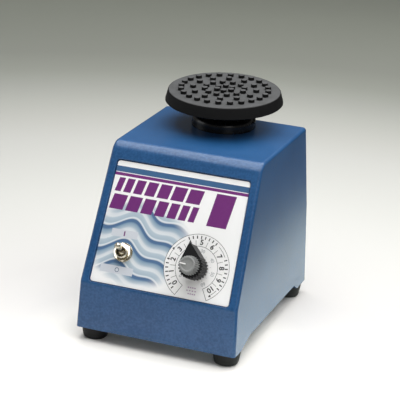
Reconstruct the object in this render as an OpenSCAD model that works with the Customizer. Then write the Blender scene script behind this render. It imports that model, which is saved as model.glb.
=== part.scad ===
// Laboratory vortex mixer: a cast housing on four rubber feet, a sloping
// control panel, and a rubber-faced cup head that a sprung motor shakes
// on a tight orbit. Origin at the middle of the footprint, on the bench;
// the panel faces -Y.

/* [Housing] */
// Width of the housing at its bottom edge
body_w = 122; // [112:1:140]
// How far each side of the housing leans in at the top
top_in = 4; // [2:0.25:5]
// Depth of the housing at its bottom edge
body_d = 165; // [160:1:190]
// Height of the top face above the bench
body_top = 138; // [134:1:160]
// Height of the housing's bottom edge above the bench
body_lift = 10; // [7:1:14]
// Height where the upright chin meets the sloping panel
chin_top = 45; // [38:1:52]
// How far the chin leans back at its top
chin_lean = 2; // [0:0.5:5]
// How far behind the chin the top face starts
top_front = 48.5; // [42:0.5:56]
// How far the top face ends in front of the rear wall's foot
top_set = 14; // [9:1:17]
// Height of the bend in the rear wall
rear_bend = 74; // [64:1:90]
// How far the rear wall leans in at its bend
rear_lean = 3; // [1:0.5:6]
// Wall thickness of the casting
wall = 2.5; // [2:0.1:3.5]
// Thickness of the sloping front wall
panel_wall = 4; // [3.4:0.1:5]
// Radius of the casting's edges
edge_r = 2.5; // [1.5:0.1:3.5]
// Radius between the top face and the sloping panel
brow_r = 10; // [6:0.5:12]
// Height of the shallow arch under each side
arch_h = 5; // [3:0.5:5]
// Length of each foot land at the front, along the bottom edge
arch_front = 15; // [12:1:20]
// Length of the foot land at the rear
arch_rear = 21.5; // [18:0.5:26]
// How far the arch slants at its front end
arch_slant = 18; // [10:1:20]
// How far the arch slants at its rear end
arch_rear_slant = 8; // [4:1:14]

/* [Base] */
// Height of the base plate above the housing's bottom edge
base_up = 5; // [4.6:0.1:6]
// Thickness of the base plate
base_t = 2; // [1.5:0.1:3]
// Gap between the base plate and the housing
base_gap = 0.5; // [0.3:0.1:1]
// Radius of the base plate's corners
base_corner = 3; // [1:0.5:6]
// Number of air slots under the fan
slot_count = 7; // [3:1:7]
// Width of an air slot
slot_w = 3; // [2:0.5:3.5]
// Length of an air slot
slot_l = 30; // [16:1:36]
// Spacing of the air slots
slot_pitch = 6; // [5:0.5:7]

/* [Feet] */
// Diameter of a foot at its shoulder
foot_d = 20.5; // [18.5:0.5:21]
// Diameter of a foot where it meets the bench
foot_tip_d = 18; // [14:0.5:18.5]
// Distance from the housing's sides to a foot's axis
foot_side = 10.3; // [10:0.1:13]
// Distance from the housing's front and rear to a foot's axis
foot_end = 12.5; // [12:0.1:15]
// Gap between a foot's shoulder and the housing's bottom edge
shoulder_gap = 0.4; // [0.2:0.1:1]
// Gap between a foot's neck and the inside of the wall
neck_gap = 0.7; // [0.4:0.1:1]
// Rounding of a foot's lower edge
foot_round = 2; // [1:0.1:2.5]
// Diameter of the foot screws
screw_d = 4; // [3:0.5:4.5]
// Diameter of a foot screw's head
screw_head_d = 8; // [7:0.5:8.5]
// Height of a foot screw's head
screw_head_h = 2.8; // [2:0.1:3.5]
// Depth of the pocket in a foot's underside
foot_pocket = 8; // [5:0.5:9]
// Gap around a screw head in its pocket
pocket_gap = 0.6; // [0.3:0.1:1]
// Diameter of the screw bosses in the housing
boss_d = 9; // [7:0.5:10]
// Height of the screw bosses
boss_h = 14; // [13:0.5:14]
// Length of a foot screw in its boss
boss_bite = 12; // [8:1:13]
// Thickness of the ribs that carry the bosses
rib_t = 3; // [2:0.5:4]

/* [Front label] */
// Space beside the label's lower edge, out to the housing's widest outside
label_side = 8.25; // [7.5:0.25:12]
// How far each side of the label leans in at its top
label_in = 2.4; // [0:0.1:4]
// Height of the label up the slope
label_h = 89; // [80:0.5:91]
// Distance from the chin to the label up the slope
label_up = 1.6; // [1.2:0.1:4]
// Thickness of the label
label_t = 0.8; // [0.4:0.1:1.2]
// Depth of the label's recess
recess = 2; // [1.2:0.1:2.4]
// Gap around the label in its recess
label_gap = 0.7; // [0.3:0.1:1.2]
// Radius of the label's corners
label_r = 2; // [1:0.5:5]

/* [Speed and timer knobs] */
// Distance of the knobs from the label's right lower corner
dial_in = 28.75; // [28:0.25:31]
// Height of the knobs above the label's lower edge
dial_s = 22.6; // [20:0.2:30]
// Diameter of the black speed knob
knob_d = 18; // [16.6:0.2:22]
// Height of the speed knob
knob_h = 13; // [11:0.5:16]
// Distance from the axis to the pointer's tip
pointer_l = 16.4; // [13:0.2:20]
// Width of the pointer's tip
pointer_tip = 2; // [1:0.2:3]
// Number of flutes round a knob
flutes = 24; // [16:2:30]
// Depth of the flutes
flute_h = 0.35; // [0.2:0.05:0.5]
// Gap between the speed knob and the label
knob_gap = 1; // [0.6:0.1:1.5]
// Depth of the hollow under the speed knob
knob_hollow = 3.4; // [3:0.1:5]
// Wall around that hollow
knob_skirt = 1.3; // [1:0.1:1.4]
// Diameter of the grey timer knob
timer_d = 14; // [12:0.2:16]
// Height of the timer knob
timer_h = 8; // [6:0.5:10]
// Diameter of the timer knob's face
timer_face = 11.4; // [9:0.2:11.8]
// Gap between the two knobs
stack_gap = 0.4; // [0.3:0.1:0.8]
// Diameter of the speed control's tube shaft
tube_d = 6.35; // [6:0.05:7]
// Diameter of the timer control's inner shaft
core_d = 3.2; // [3:0.1:3.6]
// Radial running gap of the control shafts
shaft_gap = 0.1; // [0.05:0.01:0.1]
// Turn of the pointer at rest, clockwise from straight up
pointer_turn = -13.7; // [-30:0.1:30]
// Turn of the timer knob's line at rest
timer_turn = -85; // [-100:1:-60]
// Diameter of the control's threaded bush
bush_d = 9; // [8:0.1:9.5]
// Width across flats of the control's nut
nut_af = 12; // [11:0.1:12.4]
// Thickness of the control's nut
nut_t = 2.2; // [1.8:0.1:2.4]
// Diameter of the control behind the panel
control_d = 17; // [15:0.5:19]
// Length of the control behind the panel
control_l = 18; // [14:0.5:20]

/* [Toggle switch] */
// Distance of the toggle from the label's left lower corner
toggle_in = 20.75; // [18:0.25:24]
// Height of the toggle switch above the label's lower edge
toggle_s = 24; // [20:0.5:30]
// Diameter of the toggle's threaded bush
toggle_bush_d = 9; // [8.6:0.1:10]
// Height of the bush above the label
toggle_bush_h = 5.6; // [4.5:0.1:7]
// Width across flats of the toggle's nut
toggle_af = 12; // [11:0.1:13]
// Thickness of the toggle's nut
toggle_nut_t = 2.6; // [2:0.1:3]
// Diameter of the washer under the toggle's nut
toggle_washer_d = 14; // [13:0.1:16]
// Thickness of that washer
toggle_washer_t = 0.6; // [0.4:0.1:0.8]
// Length of the lever beyond its pivot
lever_l = 14.5; // [11:0.5:18]
// Diameter of the lever's rounded end
lever_end_d = 4.6; // [4:0.1:5.4]
// Diameter of the lever's neck
lever_neck_d = 3; // [2.6:0.1:3.2]
// Diameter of the lever's pivot ball
lever_ball_d = 6; // [5:0.1:6]
// Gap round the pivot ball
lever_gap = 0.3; // [0.2:0.05:0.4]
// Lean of the lever away from the switch's axis
lever_lean = 15; // [8:0.5:16]
// Width of the switch behind the panel
toggle_box_w = 14; // [12:0.5:18]
// Height of the switch behind the panel
toggle_box_h = 20; // [14:0.5:24]
// Depth of the switch behind the panel
toggle_box_d = 15; // [12:0.5:18]

/* [Head] */
// Distance of the motor's axis in front of the rear wall's foot
axis_set = 41; // [40:0.5:46]
// Height of the ball joint's centre above the bench
ball_z = 124; // [122:0.5:126]
// Lean of the head on its crank
lean = 3; // [2:0.1:3.4]
// Diameter of the swivel ball
ball_d = 20; // [18:0.5:22]
// Running gap round the ball
ball_gap = 0.1; // [0.06:0.01:0.15]
// Diameter of the head's stem
stem_d = 8; // [7:0.1:9]
// Height of the head's face above the ball's centre
face_up = 42; // [40:0.5:46]
// Diameter of the rubber cover's face
cover_face_d = 84.4; // [80:0.2:88]
// Diameter of the rubber cover at its lower lip
cover_d = 88; // [86:0.2:92]
// Height of the rubber cover's skirt
cover_h = 8.4; // [7.6:0.2:10]
// Thickness of the rubber over the plate
cover_t = 3; // [2:0.1:3.5]
// Rounding of the cover's upper edge
cover_round = 1; // [0.5:0.1:1.5]
// Diameter of the plate inside the cover
plate_d = 76.2; // [72:0.1:77]
// Thickness of the plate inside the cover
plate_t = 3; // [2:0.1:3.5]
// Width of the cover's lip under the plate
lip_w = 3; // [2:0.5:5]
// Height of that lip
lip_t = 1.4; // [1:0.1:1.8]
// Diameter of a nub
nub_d = 4.6; // [3.4:0.1:4.6]
// Height of a nub
nub_h = 2.4; // [1:0.1:2.5]
// Radius of the inner ring of nubs
nub_ring = 6; // [5.6:0.1:6.4]
// Spacing between the rings of nubs
nub_pitch = 8.85; // [8.4:0.05:9.2]
// Number of nubs in each ring, from the middle outward
nub_counts = [6, 12, 12, 24];
// Turn of each ring of nubs
nub_turns = [42, 26, 12, 12];
// Diameter of the head's hub inside the collar
hub_d = 33; // [30:0.5:34]
// Diameter of the head's hub under the plate
hub_top_d = 42; // [38:0.5:46]
// Height of the hub's lower end above the ball's centre
hub_low = 11; // [10.5:0.5:12]
// Height above the ball's centre where the hub starts to widen
hub_flare = 27; // [26.5:0.5:30]
// Diameter of the screw that holds the plate
plate_screw_d = 5; // [4:0.5:5]
// Diameter of that screw's head
plate_screw_head = 9; // [8:0.5:10]

/* [Collar] */
// Diameter of the glossy collar on the top face
collar_d = 48; // [45:0.5:52]
// Height of the collar
collar_h = 9; // [7:0.5:10]
// Rounding of the collar's shoulder
collar_round = 5; // [3:0.5:6]
// Gap between the collar and the leaning hub
collar_gap = 1.9; // [1.7:0.1:2.4]
// Diameter of the hole in the housing's top
top_hole_d = 40; // [39.5:0.5:43]
// Depth of the collar's spigot in that hole
spigot_h = 3; // [2.5:0.5:4]
// Wall of the collar's spigot
spigot_t = 1.4; // [1:0.1:1.4]

/* [Motor] */
// Width of the motor's laminated core
core_w = 62; // [60:0.5:63]
// Height of the core
core_h = 26; // [20:1:27]
// Height of the core's underside above the base plate
core_up = 29; // [28.5:0.5:30]
// Diameter of the core's bore
bore_d = 34; // [30:0.5:36]
// Air gap between rotor and core
air_gap = 0.3; // [0.3:0.05:0.5]
// Outer diameter of the windings
coil_d = 54; // [50:0.5:56]
// Height of a winding's end
coil_h = 7; // [5:0.5:7.5]
// Thickness of the motor's brackets
bracket_t = 4; // [3:0.5:5]
// Space between the core and a bracket
bracket_gap = 8; // [7.8:0.1:8.4]
// Distance of the motor bolts from the axis, in X and in Y
bolt_at = 23; // [22:0.5:23.5]
// Diameter of the motor bolts
bolt_d = 4; // [3:0.5:5]
// Width across flats of the bolts' heads and nuts
bolt_af = 7; // [6:0.5:8]
// Height of the bolts' heads and nuts
bolt_head_h = 3; // [2.5:0.1:3.4]
// Outer diameter of the spacers
spacer_d = 7; // [6:0.5:8]
// Diameter of the motor shaft
shaft_d = 8; // [7:0.1:9]
// Diameter of the shaft's bearing bushes
bearing_d = 16; // [14:0.5:18]
// Length of a bearing bush
bearing_l = 8; // [7:0.5:8.5]
// Radial running gap of the shaft in its bushes
run_gap = 0.05; // [0.02:0.01:0.08]
// Diameter of the rotor's end rings
end_ring_d = 30; // [26:0.5:31]
// Height of an end ring
end_ring_h = 3; // [2:0.5:4]

/* [Fan] */
// Diameter of the fan
fan_d = 54; // [46:1:56]
// Diameter of the fan's hub
fan_hub_d = 14; // [12:0.5:18]
// Height of the fan
fan_h = 9; // [7:0.5:9.5]
// Height of the fan above the base plate
fan_up = 3.5; // [3:0.1:4]
// Number of fan blades
fan_blades = 7; // [5:1:9]
// Thickness of a fan blade
fan_blade_t = 1.5; // [1:0.1:2]
// Pitch of a fan blade
fan_pitch = 35; // [20:1:45]

/* [Crank] */
// Diameter of the crank hub
crank_d = 32; // [28:0.5:34]
// Distance of the crank hub's underside below the ball's centre
crank_low = 36; // [35:0.5:36]
// Distance of the crank hub's top below the ball's centre
crank_top = 17.5; // [17:0.1:18]
// Outer diameter of the crank's bearing
crank_bearing_d = 14; // [12:0.5:18]
// Length of the crank's bearing
crank_bearing_l = 7; // [5:0.5:7]
// Distance of the motor shaft's end below the ball's centre
shaft_end = 28; // [27.5:0.1:28.5]
// Distance of the stem's end below the ball's centre
stem_end = 25.5; // [25:0.1:26]
// Thickness of the counterweight
weight_t = 8; // [5:0.5:8.5]
// Height of the counterweight
weight_h = 10; // [7:0.5:11]
// Angle that the counterweight spans
weight_arc = 120; // [60:5:150]
// Diameter of the set screws
set_d = 4; // [3:0.5:5]
// Length of the set screws
set_l = 10; // [8:0.5:11]

/* [Socket] */
// Width of the top bracket
top_bracket_w = 54; // [53:0.5:55]
// Outer diameter of the ball's socket
socket_d = 33; // [30:0.5:34]
// Height of the socket above and below the ball's centre
socket_h = 8; // [7:0.5:8.5]
// Diameter of the socket's screw circle
socket_pcd = 27.5; // [27:0.1:28]
// Diameter of the socket's screws
socket_screw_d = 3; // [2.5:0.1:3]
// Diameter of the socket screws' heads
socket_head_d = 4.4; // [4:0.1:4.6]

/* [Touch drive] */
// How far the head can be pressed down
press = 2; // [1:0.1:2.5]
// Sideways distance of the guide posts from the axis
post_x = 40; // [38:0.5:41]
// Fore and aft distance of the guide posts from the axis
post_y = 12; // [10:0.5:13]
// Diameter of the guide posts
post_d = 6; // [5:0.1:6.5]
// Running gap of the carriage on its posts
post_gap = 0.08; // [0.05:0.01:0.1]
// Width of the carriage across its ears
ear_w = 94; // [92:0.5:96]
// Diameter of the clips on the posts
clip_d = 11; // [9:0.5:12]
// Thickness of the clips
clip_t = 1.2; // [0.8:0.1:1.5]
// Gap between the carriage and its stops
stop_gap = 0.2; // [0.1:0.05:0.3]
// Wire diameter of the springs
wire_d = 1.2; // [1:0.1:1.4]
// Mean diameter of the springs
coil_mean_d = 9.2; // [8.8:0.1:10]
// Number of turns in a spring
spring_turns = 6; // [5:1:7]
// Width of the tongue that works the touch switch
tongue_w = 14; // [10:1:18]
// Length of that tongue
tongue_l = 12; // [10:0.5:14]
// Width of the touch switch
touch_w = 20; // [16:0.5:24]
// Depth of the touch switch
touch_d = 10; // [7:0.5:10]
// Height of the touch switch
touch_h = 12; // [10:0.5:12.5]
// Diameter of the touch switch's plunger
plunger_d = 3; // [2.5:0.1:4]

/* [Electrics] */
// Space beside the circuit board, out to the housing's outside
board_side = 19; // [16:0.5:26]
// Depth of the circuit board
board_d = 46; // [36:1:48]
// Thickness of the circuit board
board_t = 1.6; // [1.2:0.1:2]
// Height of the board's standoffs
standoff_h = 8; // [6:0.5:10]
// Diameter of the standoffs
standoff_d = 6; // [5:0.5:7]
// Distance from the chin to the board's front edge
board_back = 10; // [9:0.5:14]
// Distance of the standoffs from the board's edges
standoff_in = 5; // [4:0.5:7]
// Width of the heat sink
sink_w = 26; // [20:1:30]
// Depth of the heat sink
sink_d = 16; // [12:1:18]
// Height of the heat sink
sink_h = 18; // [12:1:20]
// Number of heat sink fins
fins = 5; // [4:1:6]
// Diameter of the suppressor capacitor
cap_d = 14; // [10:0.5:16]
// Length of the suppressor capacitor
cap_l = 22; // [16:0.5:26]
// Width of the terminal block
terminal_w = 30; // [20:1:34]
// Depth of the terminal block
terminal_d = 10; // [8:0.5:12]
// Height of the terminal block
terminal_h = 11; // [8:0.5:13]

/* [Mains inlet] */
// Distance of the mains inlet's middle from the housing's left side
inlet_side = 15.5; // [15.5:0.5:17]
// Height of the mains inlet above the bench
inlet_z = 53; // [53:0.5:56]
// Height of the inlet's flange
flange_w = 48; // [46:0.5:50]
// Width of the inlet's flange
flange_h = 22; // [21:0.5:24]
// Thickness of the inlet's flange
flange_t = 1; // [0.8:0.05:1.2]
// Height of the inlet behind the wall
inlet_w = 27; // [26:0.5:28]
// Width of the inlet behind the wall
inlet_h = 19; // [18.5:0.1:19.5]
// Depth of the inlet behind the flange
inlet_d = 17; // [16:0.5:18]
// Height of the inlet's socket
socket_w = 24; // [23:0.1:24.5]
// Width of the inlet's socket
socket_open_h = 16; // [15.5:0.1:16.5]
// Depth of the inlet's socket
socket_depth = 15.4; // [14.5:0.1:16]
// Length of the inlet's pins in the socket
pin_l = 10.5; // [9:0.1:11]
// Width of an inlet pin
pin_w = 4; // [3.6:0.1:4.2]
// Thickness of an inlet pin
pin_t = 2; // [1.6:0.1:2.2]
// Spacing of the outer pins from the middle
pin_pitch = 7; // [6.8:0.1:7.2]
// Sideways offset of the earth pin from the outer pins
pin_step = 4; // [3.6:0.1:4.2]
// Spacing of the inlet's screws
inlet_pitch = 40; // [38:0.5:40]
// Diameter of the inlet's screws
inlet_screw_d = 3; // [2.5:0.1:3.5]
// Height of the inlet screws' heads
inlet_head_h = 0.5; // [0.4:0.05:0.6]

/* [Hidden] */
$fn = 64;
fine = 32;
over = 1;

top_w = body_w - 2 * top_in;
top_rear = body_d - top_set;
label_w = body_w - 2 * label_side;
label_top_w = label_w - 2 * label_in;
dial_x = label_w / 2 - dial_in;
toggle_x = toggle_in - label_w / 2;
board_w = body_w - 2 * board_side;
inlet_x = inlet_side - body_w / 2;
slope = atan((top_front - chin_lean) / (body_top - chin_top));
panel_l = norm([top_front - chin_lean, body_top - chin_top]);
draft = atan((body_w - top_w) / 2 / (body_top - body_lift));
rear_angle = atan(rear_lean / (rear_bend - body_lift));
base_z = body_lift + base_up;
floor_z = base_z + base_t;
half_w = function(z) body_w / 2 - (z - body_lift) * tan(draft);

// heights in the drive, from the base plate upward
core_z = floor_z + core_up;
core_end = core_z + core_h;
low_z = core_z - bracket_gap - bracket_t;
high_z = core_end + bracket_gap;
fan_z = floor_z + fan_up;
socket_t = socket_h;
top_z = ball_z - socket_t - bracket_t;

// distances along a knob's axis, from the panel's outer surface
label_z = -recess + label_t;
knob_z = label_z + knob_gap;
knob_end = knob_z + knob_h;
timer_z = knob_end + stack_gap;
timer_end = timer_z + timer_h;
toggle_z = label_z + toggle_washer_t;
lever_z = label_z + toggle_bush_h - 3.6;

// The origin is the middle of everything, so the chin stands back from it by
// what the knobs reach past the chin and the inlet past the rear edge.
timer_chamfer = 1.2;
knob_reach = max(timer_end * cos(slope) + timer_face / 2 * sin(slope),
    (timer_end - timer_chamfer) * cos(slope) + timer_d / 2 * sin(slope))
    - chin_lean - (label_up + dial_s) * sin(slope);
rear_reach = max(flange_t * cos(rear_angle) + flange_w / 2 * sin(rear_angle),
    (flange_t + inlet_head_h) * cos(rear_angle) + (inlet_pitch / 2 + inlet_screw_d) * sin(rear_angle))
    - (inlet_z - body_lift) * tan(rear_angle);
cover_reach = cover_d / 2 * cos(lean) - (face_up - cover_h) * sin(lean) - axis_set;
fy = (knob_reach - max(rear_reach, cover_reach) - body_d) / 2;
ry = fy + body_d;
mid_y = fy + body_d / 2;
axis_y = ry - axis_set;
chin_y = function(z) fy + (z - body_lift) / (chin_top - body_lift) * chin_lean;
rear_y = function(z) ry - (z - body_lift) * tan(rear_angle);

function corner(a, b, c, r, n) = let(
    u = (a - b) / norm(a - b), v = (c - b) / norm(c - b),
    h = acos(u * v) / 2, t = r / tan(h),
    o = b + (u + v) / norm(u + v) * r / sin(h),
    s = b + u * t - o, e = b + v * t - o,
    a0 = atan2(s[1], s[0]), a1 = atan2(e[1], e[0]),
    d = (a1 - a0 + 540) % 360 - 180)
    [for (i = [0:n]) o + r * [cos(a0 + d * i / n), sin(a0 + d * i / n)]];
function rounded(p, r, n = 6) = let(m = len(p))
    [for (i = [0:m - 1]) each corner(p[(i + m - 1) % m], p[i], p[(i + 1) % m], r, n)];
function box_pts(w, h) = [[-w / 2, -h / 2], [w / 2, -h / 2], [w / 2, h / 2], [-w / 2, h / 2]];
function fluted(r, n) = [for (i = [0:6 * n - 1]) let(a = i * 60 / n)
    (r - flute_h / 2 + flute_h / 2 * cos(a * n)) * [cos(a), sin(a)]];

// local frames: the panel, the rear wall, the leaning stem, the motor's axis
module on_panel(x, s) {
    translate([x, fy + chin_lean, chin_top]) rotate([90 - slope, 0, 0])
        translate([0, s, 0]) children();
}
module on_rear(x, z) {
    translate([x, rear_y(z), z]) rotate([rear_angle, 0, 0])
        rotate([-90, 0, 0]) mirror([0, 1, 0]) rotate(90) children();
}
module on_stem() {
    translate([0, axis_y, ball_z]) rotate([lean, 0, 0]) children();
}
module on_axis(z) { translate([0, axis_y, z]) children(); }
module at_bolts() {
    for (x = [-bolt_at, bolt_at], y = [-bolt_at, bolt_at]) translate([x, y, 0]) children();
}
module at_posts() {
    for (x = [-post_x, post_x], y = [-post_y, post_y]) translate([x, axis_y + y, 0]) children();
}
module at_feet() {
    for (x = [-1, 1], y = [-1, 1])
        translate([x * (body_w / 2 - foot_side), mid_y + y * (body_d / 2 - foot_end), 0]) children();
}
module hex(af, h) { cylinder(d = af / cos(30), h = h, $fn = 6); }
module tube(d, bore, h) {
    difference() {
        cylinder(d = d, h = h);
        translate([0, 0, -over]) cylinder(d = bore, h = h + 2 * over);
    }
}
module plate(w, h, r, t) { linear_extrude(t) polygon(rounded(box_pts(w, h), r)); }

// a disc with a rounded rim that lies against the inside of a side wall
module cheek(side, y, z, r) {
    translate([side * (half_w(z) - edge_r), y, z]) rotate([0, 90 - side * draft, 0])
        if (r > edge_r) rotate_extrude($fn = 2 * fine) {
            translate([r - edge_r, 0]) circle(r = edge_r, $fn = fine);
            translate([0, -edge_r]) square([r - edge_r, 2 * edge_r]);
        } else sphere(r = edge_r, $fn = fine);
}
module housing_outside() {
    kink = edge_r + 3;
    turn = (90 - slope) / 2;
    brow = brow_r * tan(turn);
    hull() for (side = [-1, 1]) {
        for (y = [fy + edge_r, ry - edge_r])
            translate([side * (body_w / 2 - edge_r), y, body_lift]) cylinder(r = edge_r, h = 0.5, $fn = fine);
        cheek(side, fy + chin_lean + kink, chin_top, kink);
        cheek(side, fy + top_front + brow, body_top - brow_r, brow_r);
        cheek(side, fy + top_rear - edge_r, body_top - edge_r, edge_r);
        cheek(side, ry - rear_lean - edge_r, rear_bend, edge_r);
    }
}
module side_profile(in_front, in_panel, in_rear, in_top, low) {
    top = body_top - in_top;
    p = [[fy + in_front, low], [chin_y(chin_top) + in_front, chin_top]];
    panel_y = fy + chin_lean + in_panel / cos(slope) + (top - chin_top) * tan(slope);
    knee = (in_panel / cos(slope) - in_front) / tan(slope);
    rear_top = fy + top_rear + (body_top - top) / (body_top - rear_bend) * (body_d - rear_lean - top_rear);
    polygon([p[0], [p[1][0], chin_top - knee], [panel_y, top],
        [rear_top - in_rear, top], [ry - rear_lean - in_rear, rear_bend], [ry - in_rear, low]]);
}
module along_x(w) { translate([w / 2, 0, 0]) rotate([0, -90, 0]) rotate([0, 0, -90]) mirror([1, 0, 0]) linear_extrude(w) children(); }
module cavity(extra = 0) {
    low = body_lift - over;
    t = wall - extra;
    intersection() {
        along_x(body_w) side_profile(t, panel_wall - extra, t, t, low);
        translate([0, ry, 0]) rotate([90, 0, 0]) linear_extrude(body_d)
            polygon([[-half_w(low) + t, low], [half_w(low) - t, low],
                [half_w(body_top) - t, body_top], [-half_w(body_top) + t, body_top]]);
    }
}
module housing() {
    rib_side = foot_side + boss_d;
    rib_end = foot_end + boss_d;
    color([0.16, 0.33, 0.62]) difference() {
        union() {
            difference() {
                housing_outside();
                cavity();
            }
            intersection() {
                cavity(wall / 2);
                translate([0, 0, floor_z]) at_feet() cylinder(d = boss_d, h = boss_h);
            }
            intersection() {
                cavity(wall / 2);
                for (x = [-1, 1], y = [-1, 1])
                    translate([x * (body_w / 2 - foot_side), mid_y + y * (body_d / 2 - foot_end), floor_z]) {
                        translate([x > 0 ? 0 : -rib_side, -rib_t / 2, 0]) cube([rib_side, rib_t, boss_h]);
                        translate([-rib_t / 2, y > 0 ? 0 : -rib_end, 0]) cube([rib_t, rib_end, boss_h]);
                    }
            }
        }
        // shallow arches between the feet
        translate([0, 0, body_lift]) along_x(body_w + 2 * over) polygon([
            [fy + arch_front - over, -over * arch_h / arch_slant], [fy + arch_front + arch_slant, arch_h],
            [ry - arch_rear - arch_rear_slant, arch_h], [ry - arch_rear + over, -over * arch_h / arch_rear_slant]]);
        // label recess, with the holes for the controls
        on_panel(0, label_up) translate([0, 0, -recess]) linear_extrude(recess + over)
            polygon(label_outline(label_gap));
        on_panel(dial_x, label_up + dial_s) translate([0, 0, -panel_wall - over])
            cylinder(d = bush_d, h = panel_wall + over);
        on_panel(toggle_x, label_up + toggle_s) translate([0, 0, -panel_wall - over])
            cylinder(d = toggle_bush_d, h = panel_wall + over);
        // hole for the head
        on_axis(body_top - wall - over) cylinder(d = top_hole_d, h = wall + 2 * over);
        // screw holes in the bosses
        at_feet() translate([0, 0, floor_z - over]) cylinder(d = screw_d, h = over + boss_bite + over);
        // cutout and screw holes for the mains inlet
        on_rear(inlet_x, inlet_z) {
            translate([-inlet_w / 2, -inlet_h / 2, -wall - over]) cube([inlet_w, inlet_h, wall + 2 * over]);
            for (x = [-1, 1]) translate([x * inlet_pitch / 2, 0, -wall - over])
                cylinder(d = inlet_screw_d, h = wall + 2 * over);
        }
    }
}
function label_outline(grow) = let(lean_in = (label_w - label_top_w) / 2 / label_h)
    rounded([[-label_w / 2 - grow - lean_in * grow, -grow], [label_w / 2 + grow + lean_in * grow, -grow],
        [label_top_w / 2 + grow - lean_in * grow, label_h + grow],
        [-label_top_w / 2 - grow + lean_in * grow, label_h + grow]], label_r + grow);

module base_plate() {
    wide = 2 * (half_w(floor_z) - wall - base_gap);
    front = chin_y(floor_z) + wall + base_gap;
    rear = rear_y(floor_z) - wall - base_gap;
    color([0.55, 0.57, 0.6]) difference() {
        translate([0, (front + rear) / 2, base_z]) plate(wide, rear - front, base_corner, base_t);
        at_feet() translate([0, 0, base_z - over]) cylinder(d = screw_d, h = base_t + 2 * over);
        at_posts() translate([0, 0, base_z - over]) cylinder(d = post_d - 2, h = base_t + 2 * over);
        for (i = [0:slot_count - 1]) translate([(i - (slot_count - 1) / 2) * slot_pitch, axis_y, base_z - over])
            linear_extrude(base_t + 2 * over) polygon(rounded(box_pts(slot_w, slot_l), slot_w / 2 - 0.1));
    }
}
module feet() {
    color([0.07, 0.07, 0.08]) at_feet() rotate_extrude() {
        in_r = screw_d / 2;
        pocket_r = screw_head_d / 2 + pocket_gap;
        neck_r = foot_side - wall - neck_gap;
        shoulder = body_lift - shoulder_gap;
        difference() {
            polygon([[in_r, 0], [foot_tip_d / 2 - foot_round, 0],
                for (i = [1:5]) let(a = 15 * i) [foot_tip_d / 2 - foot_round + foot_round * sin(a), foot_round - foot_round * cos(a)],
                [foot_d / 2, shoulder], [neck_r, shoulder], [neck_r, base_z], [in_r, base_z]]);
            translate([0, -over]) square([pocket_r, foot_pocket + over]);
        }
    }
}
module foot_screws() {
    color([0.7, 0.7, 0.72]) at_feet() {
        translate([0, 0, foot_pocket - screw_head_h]) difference() {
            cylinder(d = screw_head_d, h = screw_head_h);
            for (a = [0, 90]) rotate(a) translate([-screw_d / 2, -0.5, -over]) cube([screw_d, 1, over + screw_head_h / 2]);
        }
        translate([0, 0, foot_pocket]) cylinder(d = screw_d, h = floor_z + boss_bite - foot_pocket);
    }
}
module front_label() {
    color([0.93, 0.94, 0.96]) on_panel(0, label_up) difference() {
        translate([0, 0, -recess]) linear_extrude(label_t) polygon(label_outline(0));
        translate([dial_x, dial_s, -recess - over]) cylinder(d = bush_d, h = label_t + 2 * over);
        translate([toggle_x, toggle_s, -recess - over]) cylinder(d = toggle_bush_d, h = label_t + 2 * over);
    }
}
module top_collar() {
    in_r = hub_d / 2 + collar_gap;
    out_r = collar_d / 2;
    color([0.03, 0.03, 0.04]) on_axis(body_top) rotate_extrude() polygon([
        [in_r, collar_h], [out_r - collar_round, collar_h],
        for (i = [1:6]) let(a = 15 * i) [out_r - collar_round + collar_round * sin(a), collar_h - collar_round + collar_round * cos(a)],
        [out_r, 0], [top_hole_d / 2, 0], [top_hole_d / 2, -spigot_h],
        [top_hole_d / 2 - spigot_t, -spigot_h], [in_r + 0.2, 0]]);
}

module mains_inlet() {
    color([0.08, 0.08, 0.09]) on_rear(inlet_x, inlet_z) difference() {
        union() {
            linear_extrude(flange_t) polygon(rounded(box_pts(flange_w, flange_h), 3));
            translate([-inlet_w / 2, -inlet_h / 2, -inlet_d]) cube([inlet_w, inlet_h, inlet_d]);
        }
        translate([0, 0, flange_t - socket_depth]) linear_extrude(socket_depth + over) polygon([
            [-socket_w / 2, -socket_open_h / 2], [socket_w / 2, -socket_open_h / 2],
            [socket_w / 2, socket_open_h / 2 - 5], [socket_w / 2 - 5, socket_open_h / 2],
            [5 - socket_w / 2, socket_open_h / 2], [-socket_w / 2, socket_open_h / 2 - 5]]);
        for (x = [-1, 1]) translate([x * inlet_pitch / 2, 0, -over]) cylinder(d = inlet_screw_d, h = flange_t + 2 * over);
        inlet_pin_row() translate([-pin_t / 2, -pin_w / 2, -inlet_d - over]) cube([pin_t, pin_w, inlet_d]);
    }
}
module inlet_pin_row() {
    for (p = [[-pin_pitch, -pin_step / 2], [0, pin_step / 2], [pin_pitch, -pin_step / 2]]) translate([p[0], p[1], 0]) children();
}
module inlet_pins() {
    tail = 5;
    color([0.8, 0.8, 0.8]) on_rear(inlet_x, inlet_z) inlet_pin_row()
        translate([-pin_t / 2, -pin_w / 2, -inlet_d - tail]) cube([pin_t, pin_w, tail + inlet_d + flange_t - socket_depth + pin_l]);
}
module inlet_screws() {
    color([0.7, 0.7, 0.72]) on_rear(inlet_x, inlet_z) for (x = [-1, 1]) translate([x * inlet_pitch / 2, 0, 0]) {
        translate([0, 0, flange_t]) cylinder(d = 2 * inlet_screw_d, h = inlet_head_h);
        translate([0, 0, -wall - 2]) cylinder(d = inlet_screw_d, h = wall + 2 + flange_t);
    }
}

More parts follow.
